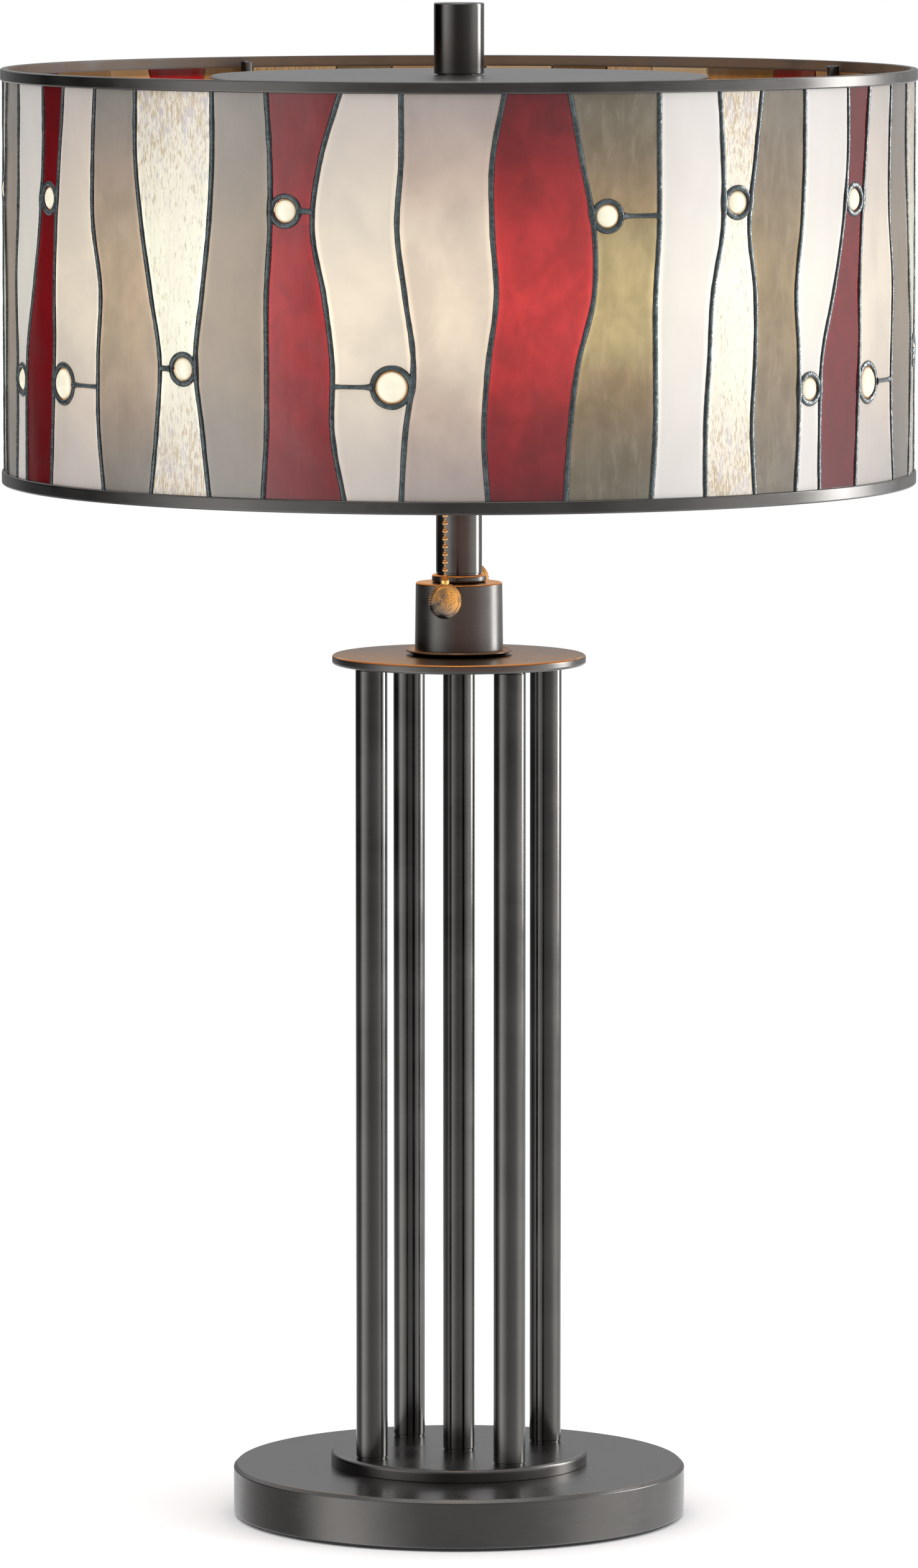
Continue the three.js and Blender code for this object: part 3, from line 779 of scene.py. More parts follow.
def make_materials():
    groups = {
        "glass_figure": make_figure_group(),
        "glass_ripple": make_ripple_group(),
        "lamp_glow": make_glow_group(),
        "edge_rub": make_edge_rub_group(),
        "patina": make_patina_group(),
    }
    made = {"glass_" + kind: art_glass(kind, groups) for kind in GLASS}
    made["jewel"] = jewel_glass()
    made["bronze"] = bronze("bronze", groups)
    made["bronze_foot"] = bronze("bronze_foot", groups, rub=0.72, roughness=0.25)
    made["bronze_tube"] = bronze("bronze_tube", groups, rub=0.1, roughness=0.17, brush=0.1, relief=0.02)
    made["bronze_neck"] = bronze("bronze_neck", groups, rub=1.0, roughness=0.3)
    made["brass"] = brass("antique_brass", groups)
    made["chain"] = brass("chain_brass", groups, tint=(0.36, 0.19, 0.08), roughness=0.16)
    made["pendant"] = brass("pendant_brass", groups, (0.46, 0.22, 0.06), (0.12, 0.095, 0.075), 0.3, 0.6)
    made["lead"] = lead_solder(groups)
    made["rim_inside_painted_shade"] = rim_inside_painted_shade(groups)
    made["steel"] = zinc_steel(groups)
    made["felt"] = felt()
    made["rubber"] = rubber()
    made["bulb"] = frosted_bulb()
    return made


# ---------------------------------------------------------------- meshes
def new_piece(name, mesh, material):
    piece = bpy.data.objects.new(name, mesh)
    bpy.context.scene.collection.objects.link(piece)
    if material and not mesh.materials:
        mesh.materials.append(material)
    return piece


def settle(piece, body, slot, *nodes):
    """Says which body a finished piece moves with and the CAD nodes it stands for; the finish given as slot
    is not used.
    """
    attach(piece, body)
    if nodes:
        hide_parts(*nodes)
    return piece


def put_attribute(mesh, name, values):
    mesh.attributes.new(name, "FLOAT", "POINT").data.foreach_set("value", values)


def smooth_by_angle(mesh, degrees=32):
    mesh.shade_smooth()
    mesh.set_sharp_from_angle(angle=math.radians(degrees))


ARC_STEPS = 5
POLE = 1e-7  # a point nearer the axis than this lies on it
EDGE_MARGIN = 0.35 * MM  # flat strip kept beside each round, so that shading stays crisp
WORN = True


def rounded(corners):
    """Makes (radius, height, wear) points of (radius, height[, round[, WORN]]) corners."""
    count = len(corners)
    points = []
    for i, corner in enumerate(corners):
        here = Vector(corner[:2])
        radius = corner[2] if len(corner) > 2 else 0
        worn = len(corner) > 3
        before = Vector(corners[i - 1][:2]) - here
        after = Vector(corners[(i + 1) % count][:2]) - here
        if not radius or before.length == 0 or after.length == 0:
            points.append((here.x, here.y, 0.0))
            continue
        u, v = before.normalized(), after.normalized()
        opening = u.angle(v)
        reach = radius / math.tan(opening / 2)
        centre = here + (u + v).normalized() * radius / math.sin(opening / 2)
        first, last = here + u * reach, here + v * reach
        margin = min(EDGE_MARGIN, (before.length - reach) / 3, (after.length - reach) / 3)
        if margin > 0:
            points.append((*(first + u * margin), 0.0))
        a, b = first - centre, last - centre
        swing = a.angle_signed(b)
        for step in range(ARC_STEPS + 1):
            share = step / ARC_STEPS
            spot = centre + Matrix.Rotation(-swing * share, 2) @ a
            points.append((spot.x, spot.y, math.sin(math.pi * share) if worn else 0.0))
        if margin > 0:
            points.append((*(last + v * margin), 0.0))
    return points


def revolve(outline, segments):
    """Vertices, faces and wear values of the outline turned about Z; a point at radius 0 is a pole."""
    vertices, wear, rings = [], [], []
    for radius, height, worn in outline:
        ring = []
        for step in range(1 if radius < POLE else segments):
            angle = 2 * math.pi * step / segments
            ring.append(len(vertices))
            vertices.append((radius * math.cos(angle), radius * math.sin(angle), height))
            wear.append(worn)
        rings.append(ring)
    faces = []
    for one, two in zip(rings, rings[1:] + rings[:1]):
        if len(one) == 1 and len(two) == 1:
            continue
        for step in range(segments):
            after = (step + 1) % segments
            if len(one) == 1:
                faces.append((one[0], two[after], two[step]))
            elif len(two) == 1:
                faces.append((one[step], one[after], two[0]))
            else:
                faces.append((one[step], one[after], two[after], two[step]))
    return vertices, faces, wear


def fix_normals(mesh):
    shape = bmesh.new()
    shape.from_mesh(mesh)
    bmesh.ops.recalc_face_normals(shape, faces=shape.faces)
    shape.to_mesh(mesh)
    shape.free()


def turned(name, corners, material, segments=96, place=None):
    """A solid of revolution. The outline closes on itself or starts and ends on the axis."""
    vertices, faces, wear = revolve(rounded(corners), segments)
    mesh = bpy.data.meshes.new(name)
    mesh.from_pydata(vertices, [], faces)
    put_attribute(mesh, "wear", wear)
    if place:
        mesh.transform(place)
    fix_normals(mesh)
    smooth_by_angle(mesh)
    return new_piece(name, mesh, material)


def merged(name, pieces):
    """Joins loose pieces into one mesh object; their materials are kept."""
    mesh = bpy.data.meshes.new(name)
    shape = bmesh.new()
    slots = []
    for piece in pieces:
        first = len(shape.faces)
        shape.from_mesh(piece.data)
        shape.faces.ensure_lookup_table()
        material = next(material for material in piece.data.materials if material)
        if material not in slots:
            slots.append(material)
        for face in shape.faces[first:]:
            face.material_index = slots.index(material)
    shape.to_mesh(mesh)
    shape.free()
    for material in slots:
        mesh.materials.append(material)
    for piece in pieces:
        bpy.data.objects.remove(piece)
    return new_piece(name, mesh, None)


def polylines(name, lines):
    """A mesh of open edge chains: each line is a list of (point, thickness)."""
    vertices, edges, thick = [], [], []
    for line in lines:
        start = len(vertices)
        vertices += [tuple(point) for point, _ in line]
        thick += [width for _, width in line]
        edges += [(i, i + 1) for i in range(start, start + len(line) - 1)]
    mesh = bpy.data.meshes.new(name)
    mesh.from_pydata(vertices, edges, [])
    put_attribute(mesh, "thick", thick)
    return mesh


def grow(name, mesh, tree, values):
    """Runs a geometry tree over a mesh and returns the result as a plain mesh object."""
    piece = new_piece(name, mesh, None)
    modifier = piece.modifiers.new("shape", "NODES")
    modifier.node_group = tree
    for item in tree.interface.items_tree:
        if item.item_type == "SOCKET" and item.in_out == "INPUT" and item.name in values:
            modifier[item.identifier] = values[item.name]
    bpy.context.view_layer.update()
    depsgraph = bpy.context.evaluated_depsgraph_get()
    result = bpy.data.meshes.new_from_object(piece.evaluated_get(depsgraph), depsgraph=depsgraph)
    piece.modifiers.remove(modifier)
    piece.data = result
    result.name = name
    return piece


# ---------------------------------------------------------------- geometry trees
def finish_tree(build, geometry, material, result):
    """Every tree ends the same way: real geometry, smooth shading and one material."""
    real = build.first("GeometryNodeRealizeInstances", {"Geometry": geometry})
    smooth = build.first("GeometryNodeSetShadeSmooth", {"Geometry": real})
    painted = build.first("GeometryNodeSetMaterial", {"Geometry": smooth, "Material": material})
    build.feed(result["Geometry"], painted)


def new_tree(name, *settings):
    """A geometry tree: geometry in and out, its own settings and the material it gives."""
    inputs = [("Geometry", GEOMETRY, None), *settings, ("Material", MATERIAL, None)]
    return new_group(name, "GeometryNodeTree", inputs, [("Geometry", GEOMETRY)])


def evenly_spaced(build, curve, length):
    """The curve with points that far apart."""
    return build.first("GeometryNodeResampleCurve", {"Curve": curve, "Length": length}, mode="LENGTH")


def tube_along(build, curve, sides, radius, scale=1.0):
    """A closed tube of that many sides along a curve."""
    circle = {"Resolution": sides, "Radius": radius}
    profile = build.first("GeometryNodeCurvePrimitiveCircle", circle)
    inputs = {"Curve": curve, "Profile Curve": profile, "Scale": scale, "Fill Caps": True}
    return build.first("GeometryNodeCurveToMesh", inputs)


def own_thickness(build):
    """The size kept on each point of the mesh a tree grows on."""
    return build.first("GeometryNodeInputNamedAttribute", {"Name": "thick"}, data_type="FLOAT")


def make_solder_tree():
    """Half-round solder along edge chains that lie on a drum, a little uneven by hand."""
    tree, build, given, result = new_tree(
        "solder_line",
        ("Radius", FLOAT, LEAD_RADIUS),
        ("Step", FLOAT, 1.5 * MM),
        ("Uneven", FLOAT, 0.12),
        ("Drum Radius", FLOAT, GLASS_OUTER),
        ("Flatten", FLOAT, LEAD_FLATTEN),
    )
    curve = build.first("GeometryNodeMeshToCurve", {"Mesh": given["Geometry"]})
    curve = evenly_spaced(build, curve, given["Step"])
    place = build.first("GeometryNodeInputPosition")
    lumps = build.minus(build.noise(place, 160.0, 2.0), 0.5)
    uneven = build.plus(build.times(lumps, build.times(given["Uneven"], 4.0)), 1.0)
    radius = build.times(build.times(own_thickness(build), given["Radius"]), uneven)
    tube = tube_along(build, curve, 10, 1.0, radius)
    flat = build.vector("MULTIPLY", place, (1, 1, 0))
    distance = build.vector("LENGTH", flat)
    pull = build.times(build.minus(given["Drum Radius"], distance), given["Flatten"])
    offset = build.scale(build.vector("NORMALIZE", flat), pull)
    moved = build.first("GeometryNodeSetPosition", {"Geometry": tube, "Offset": offset})
    finish_tree(build, moved, given["Material"], result)
    return tree


def make_bead_chain_tree():
    """Ball chain: beads at an even pitch along an edge chain, on a thin wire."""
    tree, build, given, result = new_tree(
        "bead_chain",
        ("Pitch", FLOAT, 3.28 * MM),
        ("Bead Radius", FLOAT, 1.2 * MM),
        ("Wire Radius", FLOAT, 0.38 * MM),
    )
    curve = build.first("GeometryNodeMeshToCurve", {"Mesh": given["Geometry"]})
    spaced = evenly_spaced(build, curve, given["Pitch"])
    inputs = {"Radius": given["Bead Radius"], "Subdivisions": 3}
    bead = build.first("GeometryNodeMeshIcoSphere", inputs)
    beads = build.first("GeometryNodeInstanceOnPoints", {"Points": spaced, "Instance": bead})
    wire = tube_along(build, curve, 8, given["Wire Radius"])
    both = build.add("GeometryNodeJoinGeometry")
    build.feed(both.inputs[0], beads)
    build.feed(both.inputs[0], wire)
    finish_tree(build, both.outputs[0], given["Material"], result)
    return tree


def make_jewel_tree():
    """A flattened glass dome on every point, of the size kept there, facing away from the axis."""
    tree, build, given, result = new_tree("jewels", ("Crown", FLOAT, 0.5))
    inputs = {"Segments": 40, "Rings": 20, "Radius": 1.0}
    dome = build.add("GeometryNodeMeshUVSphere", inputs).outputs["Mesh"]
    place = build.first("GeometryNodeInputPosition")
    rim = build.vector("LENGTH", build.vector("MULTIPLY", place, (1, 1, 0)))
    inputs = {"Geometry": dome, "Name": "rim", "Value": rim}
    stored = build.first("GeometryNodeStoreNamedAttribute", inputs, data_type="FLOAT")
    crown = build.xyz(1.0, 1.0, given["Crown"])
    dome = build.first("GeometryNodeTransform", {"Geometry": stored, "Scale": crown})
    outward = build.vector("MULTIPLY", place, (1, 1, 0))
    facing = build.first("FunctionNodeAlignRotationToVector", {"Vector": outward}, axis="Z")
    inputs = {"Points": given["Geometry"], "Instance": dome, "Rotation": facing}
    inputs["Scale"] = own_thickness(build)
    placed = build.first("GeometryNodeInstanceOnPoints", inputs)
    finish_tree(build, placed, given["Material"], result)
    return tree


def make_ridge_tree():
    """Ridges standing round a circle, for knurled edges and ribbed shells."""
    tree, build, given, result = new_tree(
        "ridges",
        ("Count", INTEGER, 40),
        ("Circle Radius", FLOAT, 7.6 * MM),
        ("Ridge Radius", FLOAT, 0.4 * MM),
        ("Ridge Length", FLOAT, 2.0 * MM),
    )
    inputs = {"Vertices": given["Count"], "Radius": given["Circle Radius"]}
    circle = build.first("GeometryNodeMeshCircle", inputs, fill_type="NONE")
    inputs = {"Vertices": 8, "Radius": given["Ridge Radius"], "Depth": given["Ridge Length"]}
    ridge = build.add("GeometryNodeMeshCylinder", inputs).outputs["Mesh"]
    placed = build.first("GeometryNodeInstanceOnPoints", {"Points": circle, "Instance": ridge})
    finish_tree(build, placed, given["Material"], result)
    return tree


# ---------------------------------------------------------------- foot and column
def make_foot(materials):
    """Felt pad, base and step plate."""
    pad_edge, base_edge = outer_radius("felt_pad"), outer_radius("base_weight")
    pad_top, base_top, step_top = top("felt_pad"), top("base_weight"), top("step_disc")
    corners = [(0, 0), (pad_edge, 0, 0.5 * MM), (pad_edge, pad_top), (0, pad_top)]
    pad = turned("felt_pad_soft", corners, materials["felt"])
    settle(pad, "stand", "felt", "felt_pad")
    recess_edge, recess_top = 15 * MM, 12 * MM
    corners = [
        (recess_edge, pad_top),
        (base_edge, pad_top, 0.5 * MM),
        (base_edge, base_top - 1.5 * MM, 0.5 * MM),
        (base_edge - 1.5 * MM, base_top, 0.5 * MM, WORN),
        (PIPE_HOLE, base_top),
        (PIPE_HOLE, recess_top),
        (recess_edge, recess_top),
    ]
    base = turned("base_casting", corners, materials["bronze_foot"], 192)
    settle(base, "stand", "base_iron", "base_weight")
    step_edge = outer_radius("step_disc")
    corners = [
        (PIPE_HOLE, base_top),
        (step_edge, base_top, 0.2 * MM, WORN),
        (step_edge, step_top, 1.5 * MM),
        (PIPE_HOLE, step_top),
    ]
    settle(turned("step_plate", corners, materials["bronze_foot"], 160), "stand", "bronze", "step_disc")


def tube_corners(inner, outer, low, high, groove=0.35 * MM):
    """A tube with a fine shadow groove where it meets the piece at each end."""
    return [
        (inner, low),
        (outer - groove, low),
        (outer - groove, low + 0.7 * MM),
        (outer, low + 0.9 * MM, 0.15 * MM),
        (outer, high - 0.9 * MM, 0.15 * MM),
        (outer - groove, high - 0.7 * MM),
        (outer - groove, high),
        (inner, high),
    ]


def make_column(materials):
    """The middle tube, the four rods round it and the plate they carry."""
    low, high, edge = extent("centre_tube")
    middle = turned("centre_column", tube_corners(PIPE_HOLE, edge, low, high), materials["bronze_tube"], 64)
    settle(middle, "stand", "bronze", "centre_tube")
    for number in range(1, 5):
        node = f"rod_{number}"
        corner_low, corner_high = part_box(node)
        centre = (corner_low + corner_high) / 2
        place = Matrix.Translation((centre.x, centre.y, 0))
        corners = tube_corners(edge - 1 * MM, edge, low, high)
        rod = turned(f"column_{node}", corners, materials["bronze_tube"], 64, place)
        settle(rod, "stand", "bronze", node)
    low, high, edge = extent("upper_plate")
    corners = [(PIPE_HOLE, low), (edge, low, 1.1 * MM), (edge, high, 1.1 * MM, WORN), (PIPE_HOLE, high)]
    settle(turned("top_plate", corners, materials["bronze_neck"], 160), "stand", "bronze", "upper_plate")


def make_neck(materials):
    """What stands on the plate: dish, collar, check ring and stem."""
    low, high, edge = extent("seat_ring")
    corners = [
        (PIPE_HOLE, low),
        (19.5 * MM, low, 0.4 * MM),
        (edge, high - 0.9 * MM, 0.25 * MM, WORN),
        (edge - 0.5 * MM, high, 0.25 * MM, WORN),
        (19.6 * MM, low + 1.0 * MM),
        (PIPE_HOLE, low + 1.0 * MM),
    ]
    settle(turned("seat_dish", corners, materials["bronze_neck"], 96), "stand", "bronze", "seat_ring")

    low, high, edge = extent("collar")
    wall, draft = 1.6 * MM, 0.4 * MM
    corners = [
        (edge - wall, low),
        (edge, low, 0.3 * MM),
        (edge - draft, high, 0.8 * MM, WORN),
        (PIPE_HOLE, high),
        (PIPE_HOLE, high - wall),
        (edge - draft - wall, high - wall),
    ]
    settle(turned("collar_cup", corners, materials["bronze_neck"], 96), "stand", "bronze", "collar")

    low, high, edge = extent("check_ring")
    corners = [
        (PIPE_HOLE, low),
        (edge, low, 1.0 * MM, WORN),
        (edge, high, 1.0 * MM, WORN),
        (PIPE_HOLE, high),
    ]
    settle(turned("check_washer", corners, materials["bronze_neck"], 80), "stand", "bronze", "check_ring")

    low, high, edge = extent("stem_tube")
    corners = tube_corners(edge - 1.4 * MM, edge, low, high, 0.2 * MM)
    settle(turned("stem", corners, materials["bronze_tube"], 80), "stand", "bronze", "stem_tube")


# ---------------------------------------------------------------- lamp holders, bulbs and chains
def along_socket(turn):
    """Moves a piece made about +Z so that +Z points out along the socket at that turn."""
    tilt = Matrix.Rotation(math.radians(90 - SOCKET_TILT), 4, "X")
    swing = Matrix.Rotation(math.radians(turn), 4, "Z")
    return Matrix.Translation((0, 0, LAMP_CENTRE)) @ swing @ tilt


# A bulb's outline in millimetres, as (radius, distance along the socket).
BULB_OUTLINE = (
    (13.2, 78.6), (13.6, 84), (15.2, 91), (18.6, 98), (23, 106), (27, 115), (29.4, 124),
    (30, 132), (29.2, 141), (26.6, 149), (22, 155.6), (16, 160), (8.5, 162.3), (0, 163),
)
CHAIN_REACH = 57.3 * MM  # how far from the axis each pull chain hangs


def make_sockets(materials, ridge_tree):
    """The drum that both lamp holders branch from, then the holders and bulbs."""
    low, high, edge = bottom("cluster_body"), top("cluster_body"), 14 * MM
    corners = [(PIPE_HOLE, low), (edge, low, 1 * MM), (edge, high, 1 * MM), (PIPE_HOLE, high)]
    body = turned("cluster_drum", corners, materials["bronze"], 64)
    boss_corners = in_mm((0, 9), (6, 9), (6, 17, 0.4), (0, 17))
    bosses = [
        turned(f"boss_{i}", boss_corners, materials["bronze"], 32, along_socket(turn))
        for i, turn in enumerate(SOCKET_TURNS)
    ]
    settle(merged("cluster", [body, *bosses]), "stand", "bronze", "cluster_body")
    for i, turn in enumerate(SOCKET_TURNS):
        make_one_socket(i + 1, turn, materials, ridge_tree)
        make_one_bulb(i + 1, turn, materials)


def make_one_socket(number, turn, materials, ridge_tree):
    """A domed cap and a ribbed shell with the spout its chain leaves by."""
    place = along_socket(turn)
    cap_corners = in_mm(
        (0, 17.3), (7, 17.3, 0.5), (7, 23, 1), (14, 27, 3), (17, 33, 2), (17, 37.7), (0, 37.7),
    )
    cap = turned(f"socket_dome_{number}", cap_corners, materials["brass"], 64, place)
    settle(cap, "stand", "antique_brass", f"socket_cap_{number}")
    shell_corners = in_mm(
        (0, 37.9), (17, 37.9, 0.5), (17, 40.5, 0.4), (16.3, 41.2, 0.3), (16.3, 74, 0.3),
        (17.1, 75, 0.3), (17.1, 78, 0.3), (15.4, 78), (15.4, 52.5), (0, 52.5),
    )
    shell = turned(f"shell_{number}", shell_corners, materials["brass"], 64, place)
    empty = bpy.data.meshes.new("ribs")
    values = {
        "Count": 36,
        "Circle Radius": 16.2 * MM,
        "Ridge Radius": 0.55 * MM,
        "Ridge Length": 30 * MM,
        "Material": materials["brass"],
    }
    ribs = grow("ribs", empty, ridge_tree, values)
    ribs.data.transform(place @ Matrix.Translation((0, 0, 57.6 * MM)))
    hanging = around(CHAIN_REACH, turn, 0)
    spout_corners = in_mm(
        (2.0, 504), (3.2, 504, 0.4), (2.9, 513), (2.0, 513),
    )
    spout = turned("spout", spout_corners, materials["brass"], 32, Matrix.Translation(hanging))
    whole = merged(f"socket_body_{number}", [shell, ribs, spout])
    settle(whole, "stand", "antique_brass", f"socket_shell_{number}")


def make_one_bulb(number, turn, materials):
    """A bulb's screw shell and its glass."""
    place = along_socket(turn)
    corners = [(0, 53 * MM), (5 * MM, 53 * MM, 0.5 * MM), (9 * MM, 57 * MM, 0.5 * MM)]
    threads, pitch = 6, 2.6
    for thread in range(threads):
        at = (60 + pitch * thread) * MM
        corners += [(12.2 * MM, at, 0.3 * MM), (13 * MM, at + 1.3 * MM, 0.3 * MM)]
    corners += [(13 * MM, 78.3 * MM), (0, 78.3 * MM)]
    screw = turned(f"screw_shell_{number}", corners, materials["steel"], 48, place)
    settle(screw, f"bulb_{number}", "zinc_steel", f"bulb_base_{number}")
    outline = [(0, BULB_OUTLINE[0][1] * MM, 0.0)] + [(r * MM, z * MM, 0.0) for r, z in BULB_OUTLINE]
    vertices, faces, _ = revolve(outline, 64)
    mesh = bpy.data.meshes.new("globe")
    mesh.from_pydata(vertices, [], faces)
    start, end = BULB_OUTLINE[0][1] * MM, BULB_OUTLINE[-1][1] * MM
    put_attribute(mesh, "along", [(vertex[2] - start) / (end - start) for vertex in vertices])
    mesh.transform(place)
    fix_normals(mesh)
    smooth_by_angle(mesh, 40)
    globe = new_piece(f"bulb_globe_{number}", mesh, materials["bulb"])
    settle(globe, f"bulb_{number}", "bulb_glass", f"bulb_glass_{number}")


PENDANT_FACES = 26


def make_pull_chains(materials, chain_tree, ridge_tree):
    """Two ball chains, each with an end bell and a pendant."""
    for number in (1, 2):
        low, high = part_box(f"pull_chain_{number}")
        x, y = (low.x + high.x) / 2, (low.y + high.y) / 2
        ends = [(Vector((x, y, low.z + 1.6 * MM)), 1.0), (Vector((x, y, high.z)), 1.0)]
        values = {"Material": materials["chain"]}
        chain = grow(f"beads_{number}", polylines("chain_line", [ends]), chain_tree, values)
        put_attribute(chain.data, "tarnish_and_shade", [0.0] * len(chain.data.vertices))
        bell_corners = [
            (0, low.z - 1.4 * MM),
            (1.7 * MM, low.z - 1.4 * MM, 0.3 * MM),
            (1.9 * MM, low.z + 0.4 * MM, 0.6 * MM),
            (1.0 * MM, low.z + 2.6 * MM, 0.4 * MM),
            (0, low.z + 2.9 * MM),
        ]
        bell = turned("bell", bell_corners, materials["brass"], 32, Matrix.Translation((x, y, 0)))
        whole = merged(f"ball_chain_{number}", [chain, bell])
        settle(whole, f"chain_{number}", "antique_brass", f"pull_chain_{number}")
        make_pendant(number, x, y, materials, ridge_tree)


def scroll(centre, size, turns, start, steps=26):
    """A flat spiral of points, as one scroll of a filigree."""
    points = []
    for step in range(steps):
        share = step / (steps - 1)
        radius = size * (1 - 0.8 * share)
        angle = start + turns * 2 * math.pi * share
        x, y = centre[0] + radius * math.cos(angle), centre[1] + radius * math.sin(angle)
        points.append((Vector((x, y, 0)), 1.0))
    return points


def make_pendant(number, x, y, materials, ridge_tree):
    """A domed coin: knurled edge, and a ring and plain scrolls in low relief on both faces."""
    low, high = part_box(f"pendant_{number}")
    centre_z = (low.z + high.z) / 2
    radius = (high.z - low.z) / 2
    half, edge = 1.5 * MM, radius - 0.5 * MM

    def face_height(distance):
        return half * (1 - 0.42 * (distance / edge) ** 2)

    rings = [edge * step / 10 for step in range(11)]
    corners = [(r, -face_height(r)) for r in rings[:-1]] + [(edge, -face_height(edge), 0.25 * MM)]
    corners += [(edge, face_height(edge), 0.25 * MM)] + [(r, face_height(r)) for r in reversed(rings[:-1])]
    disc = turned("disc", corners, materials["pendant"], 96)
    values = {
        "Count": 44,
        "Circle Radius": edge,
        "Ridge Radius": 0.4 * MM,
        "Ridge Length": 2 * face_height(edge) - 0.2 * MM,
        "Material": materials["pendant"],
    }
    knurl = grow("knurl", bpy.data.meshes.new("knurl"), ridge_tree, values)
    lines = []
    for petal in range(6):
        angle = petal * math.pi / 3
        centre = (3.0 * MM * math.cos(angle), 3.0 * MM * math.sin(angle))
        lines.append(scroll(centre, 1.75 * MM, 1.2, angle + math.pi))
    lines.append(scroll((0, 0), 1.5 * MM, 2.0, 0.4))
    ring = [2 * math.pi * step / 60 for step in range(61)]
    lines.append([(Vector((math.cos(a), math.sin(a), 0)) * edge * 0.86, 1.0) for a in ring])
    relief = []
    for side in (-1, 1):
        flat = curve_tube(f"relief_{side}", lines, 0.3 * MM, materials["pendant"])
        for vertex in flat.data.vertices:
            distance = math.hypot(vertex.co.x, vertex.co.y)
            vertex.co.z = vertex.co.z * 0.7 + side * (face_height(distance) - 0.05 * MM)
        relief.append(flat)

    def tarnish_with_shade(place, least):
        """Painted shade: darker towards the lower left, where the dome turns away from the light, on top of
        the given least value.
        """
        return least + 0.6 * max(0.0, 0.25 - (place.y + 0.45 * place.x) / edge)

    # The rim is kept dark, and the whole coin darkens towards its lower left as painted shade.
    tarnish_and_shade = []
    for vertex in disc.data.vertices:
        at_rim = vertex.co.xy.length >= edge * 0.98
        tarnish_and_shade.append(tarnish_with_shade(vertex.co, 0.8 if at_rim else 0.0))
    for piece in (knurl, *relief):
        tarnish_and_shade += [tarnish_with_shade(vertex.co, 0.0) for vertex in piece.data.vertices]
    pendant = merged(f"pendant_coin_{number}", [disc, knurl, *relief])
    put_attribute(pendant.data, "tarnish_and_shade", tarnish_and_shade)
    upright = Matrix.Rotation(math.radians(90), 4, "X")
    facing = Matrix.Rotation(math.radians(PENDANT_FACES), 4, "Z")
    pendant.data.transform(Matrix.Translation((x, y, centre_z)) @ facing @ upright)
    settle(pendant, f"chain_{number}", "antique_brass", f"pendant_{number}")


def curve_tube(name, lines, radius, material):
    """Round wire along lists of points, as a plain mesh."""
    curve = bpy.data.curves.new(name, "CURVE")
    curve.dimensions = "3D"
    curve.bevel_depth = radius
    curve.bevel_resolution = 2
    for line in lines:
        spline = curve.splines.new("POLY")
        spline.points.add(len(line) - 1)
        for point, (where, _) in zip(spline.points, line):
            point.co = (*where, 1)
    wire = bpy.data.objects.new(name, curve)
    bpy.context.scene.collection.objects.link(wire)
    bpy.context.view_layer.update()
    mesh = bpy.data.meshes.new_from_object(wire.evaluated_get(bpy.context.evaluated_depsgraph_get()))
    bpy.data.objects.remove(wire)
    mesh.materials.clear()
    mesh.shade_smooth()
    return new_piece(name, mesh, material)


# ---------------------------------------------------------------- shade
def line_turn(line, height):
    """The turn of a lead line at a height, on a smooth curve through its seven given turns."""
    row = LEAD_LINES[line % LINES_PER_REPEAT]
    share = (GLASS_TOP - height) / (GLASS_TOP - GLASS_BOTTOM) * (len(row) - 1)
    share = min(max(share, 0.0), len(row) - 1.0)
    index = min(int(share), len(row) - 2)
    t = share - index
    p1, p2 = row[index], row[index + 1]
    p0 = row[index - 1] if index else 2 * p1 - p2
    p3 = row[index + 2] if index + 2 < len(row) else 2 * p2 - p1
    smooth = 0.5 * (
        2 * p1
        + (p2 - p0) * t
        + (2 * p0 - 5 * p1 + 4 * p2 - p3) * t**2
        + (3 * p1 - p0 - 3 * p2 + p3) * t**3
    )
    return smooth + 360 / REPEATS * (line // LINES_PER_REPEAT)


def degrees_at_glass(width):
    return math.degrees(width / GLASS_OUTER)


RING_WIDTH = 1.1 * MM  # from a jewel's edge to the middle of its solder ring


def jewel_place(strip):
    """(turn, height, radius) of a strip's jewel, or None."""
    jewel = STRIP_KINDS[strip % LINES_PER_REPEAT][1]
    if jewel is None:
        return None
    height, radius, side = jewel
    left, right = line_turn(strip, height), line_turn(strip + 1, height)
    if side == 0:
        return (left + right) / 2, height, radius
    reach = degrees_at_glass(radius + RING_WIDTH + 0.4 * MM)
    return (left + reach if side < 0 else right - reach), height, radius


JOINT_HALF = 0.55 * MM
# Width and fade of the painted highlight along each pane's lead edges.
BORDER_WIDTH, BORDER_FADE = 2.6 * MM, 1.6 * MM
PANE_COLUMNS, PANE_ROWS = 22, 44


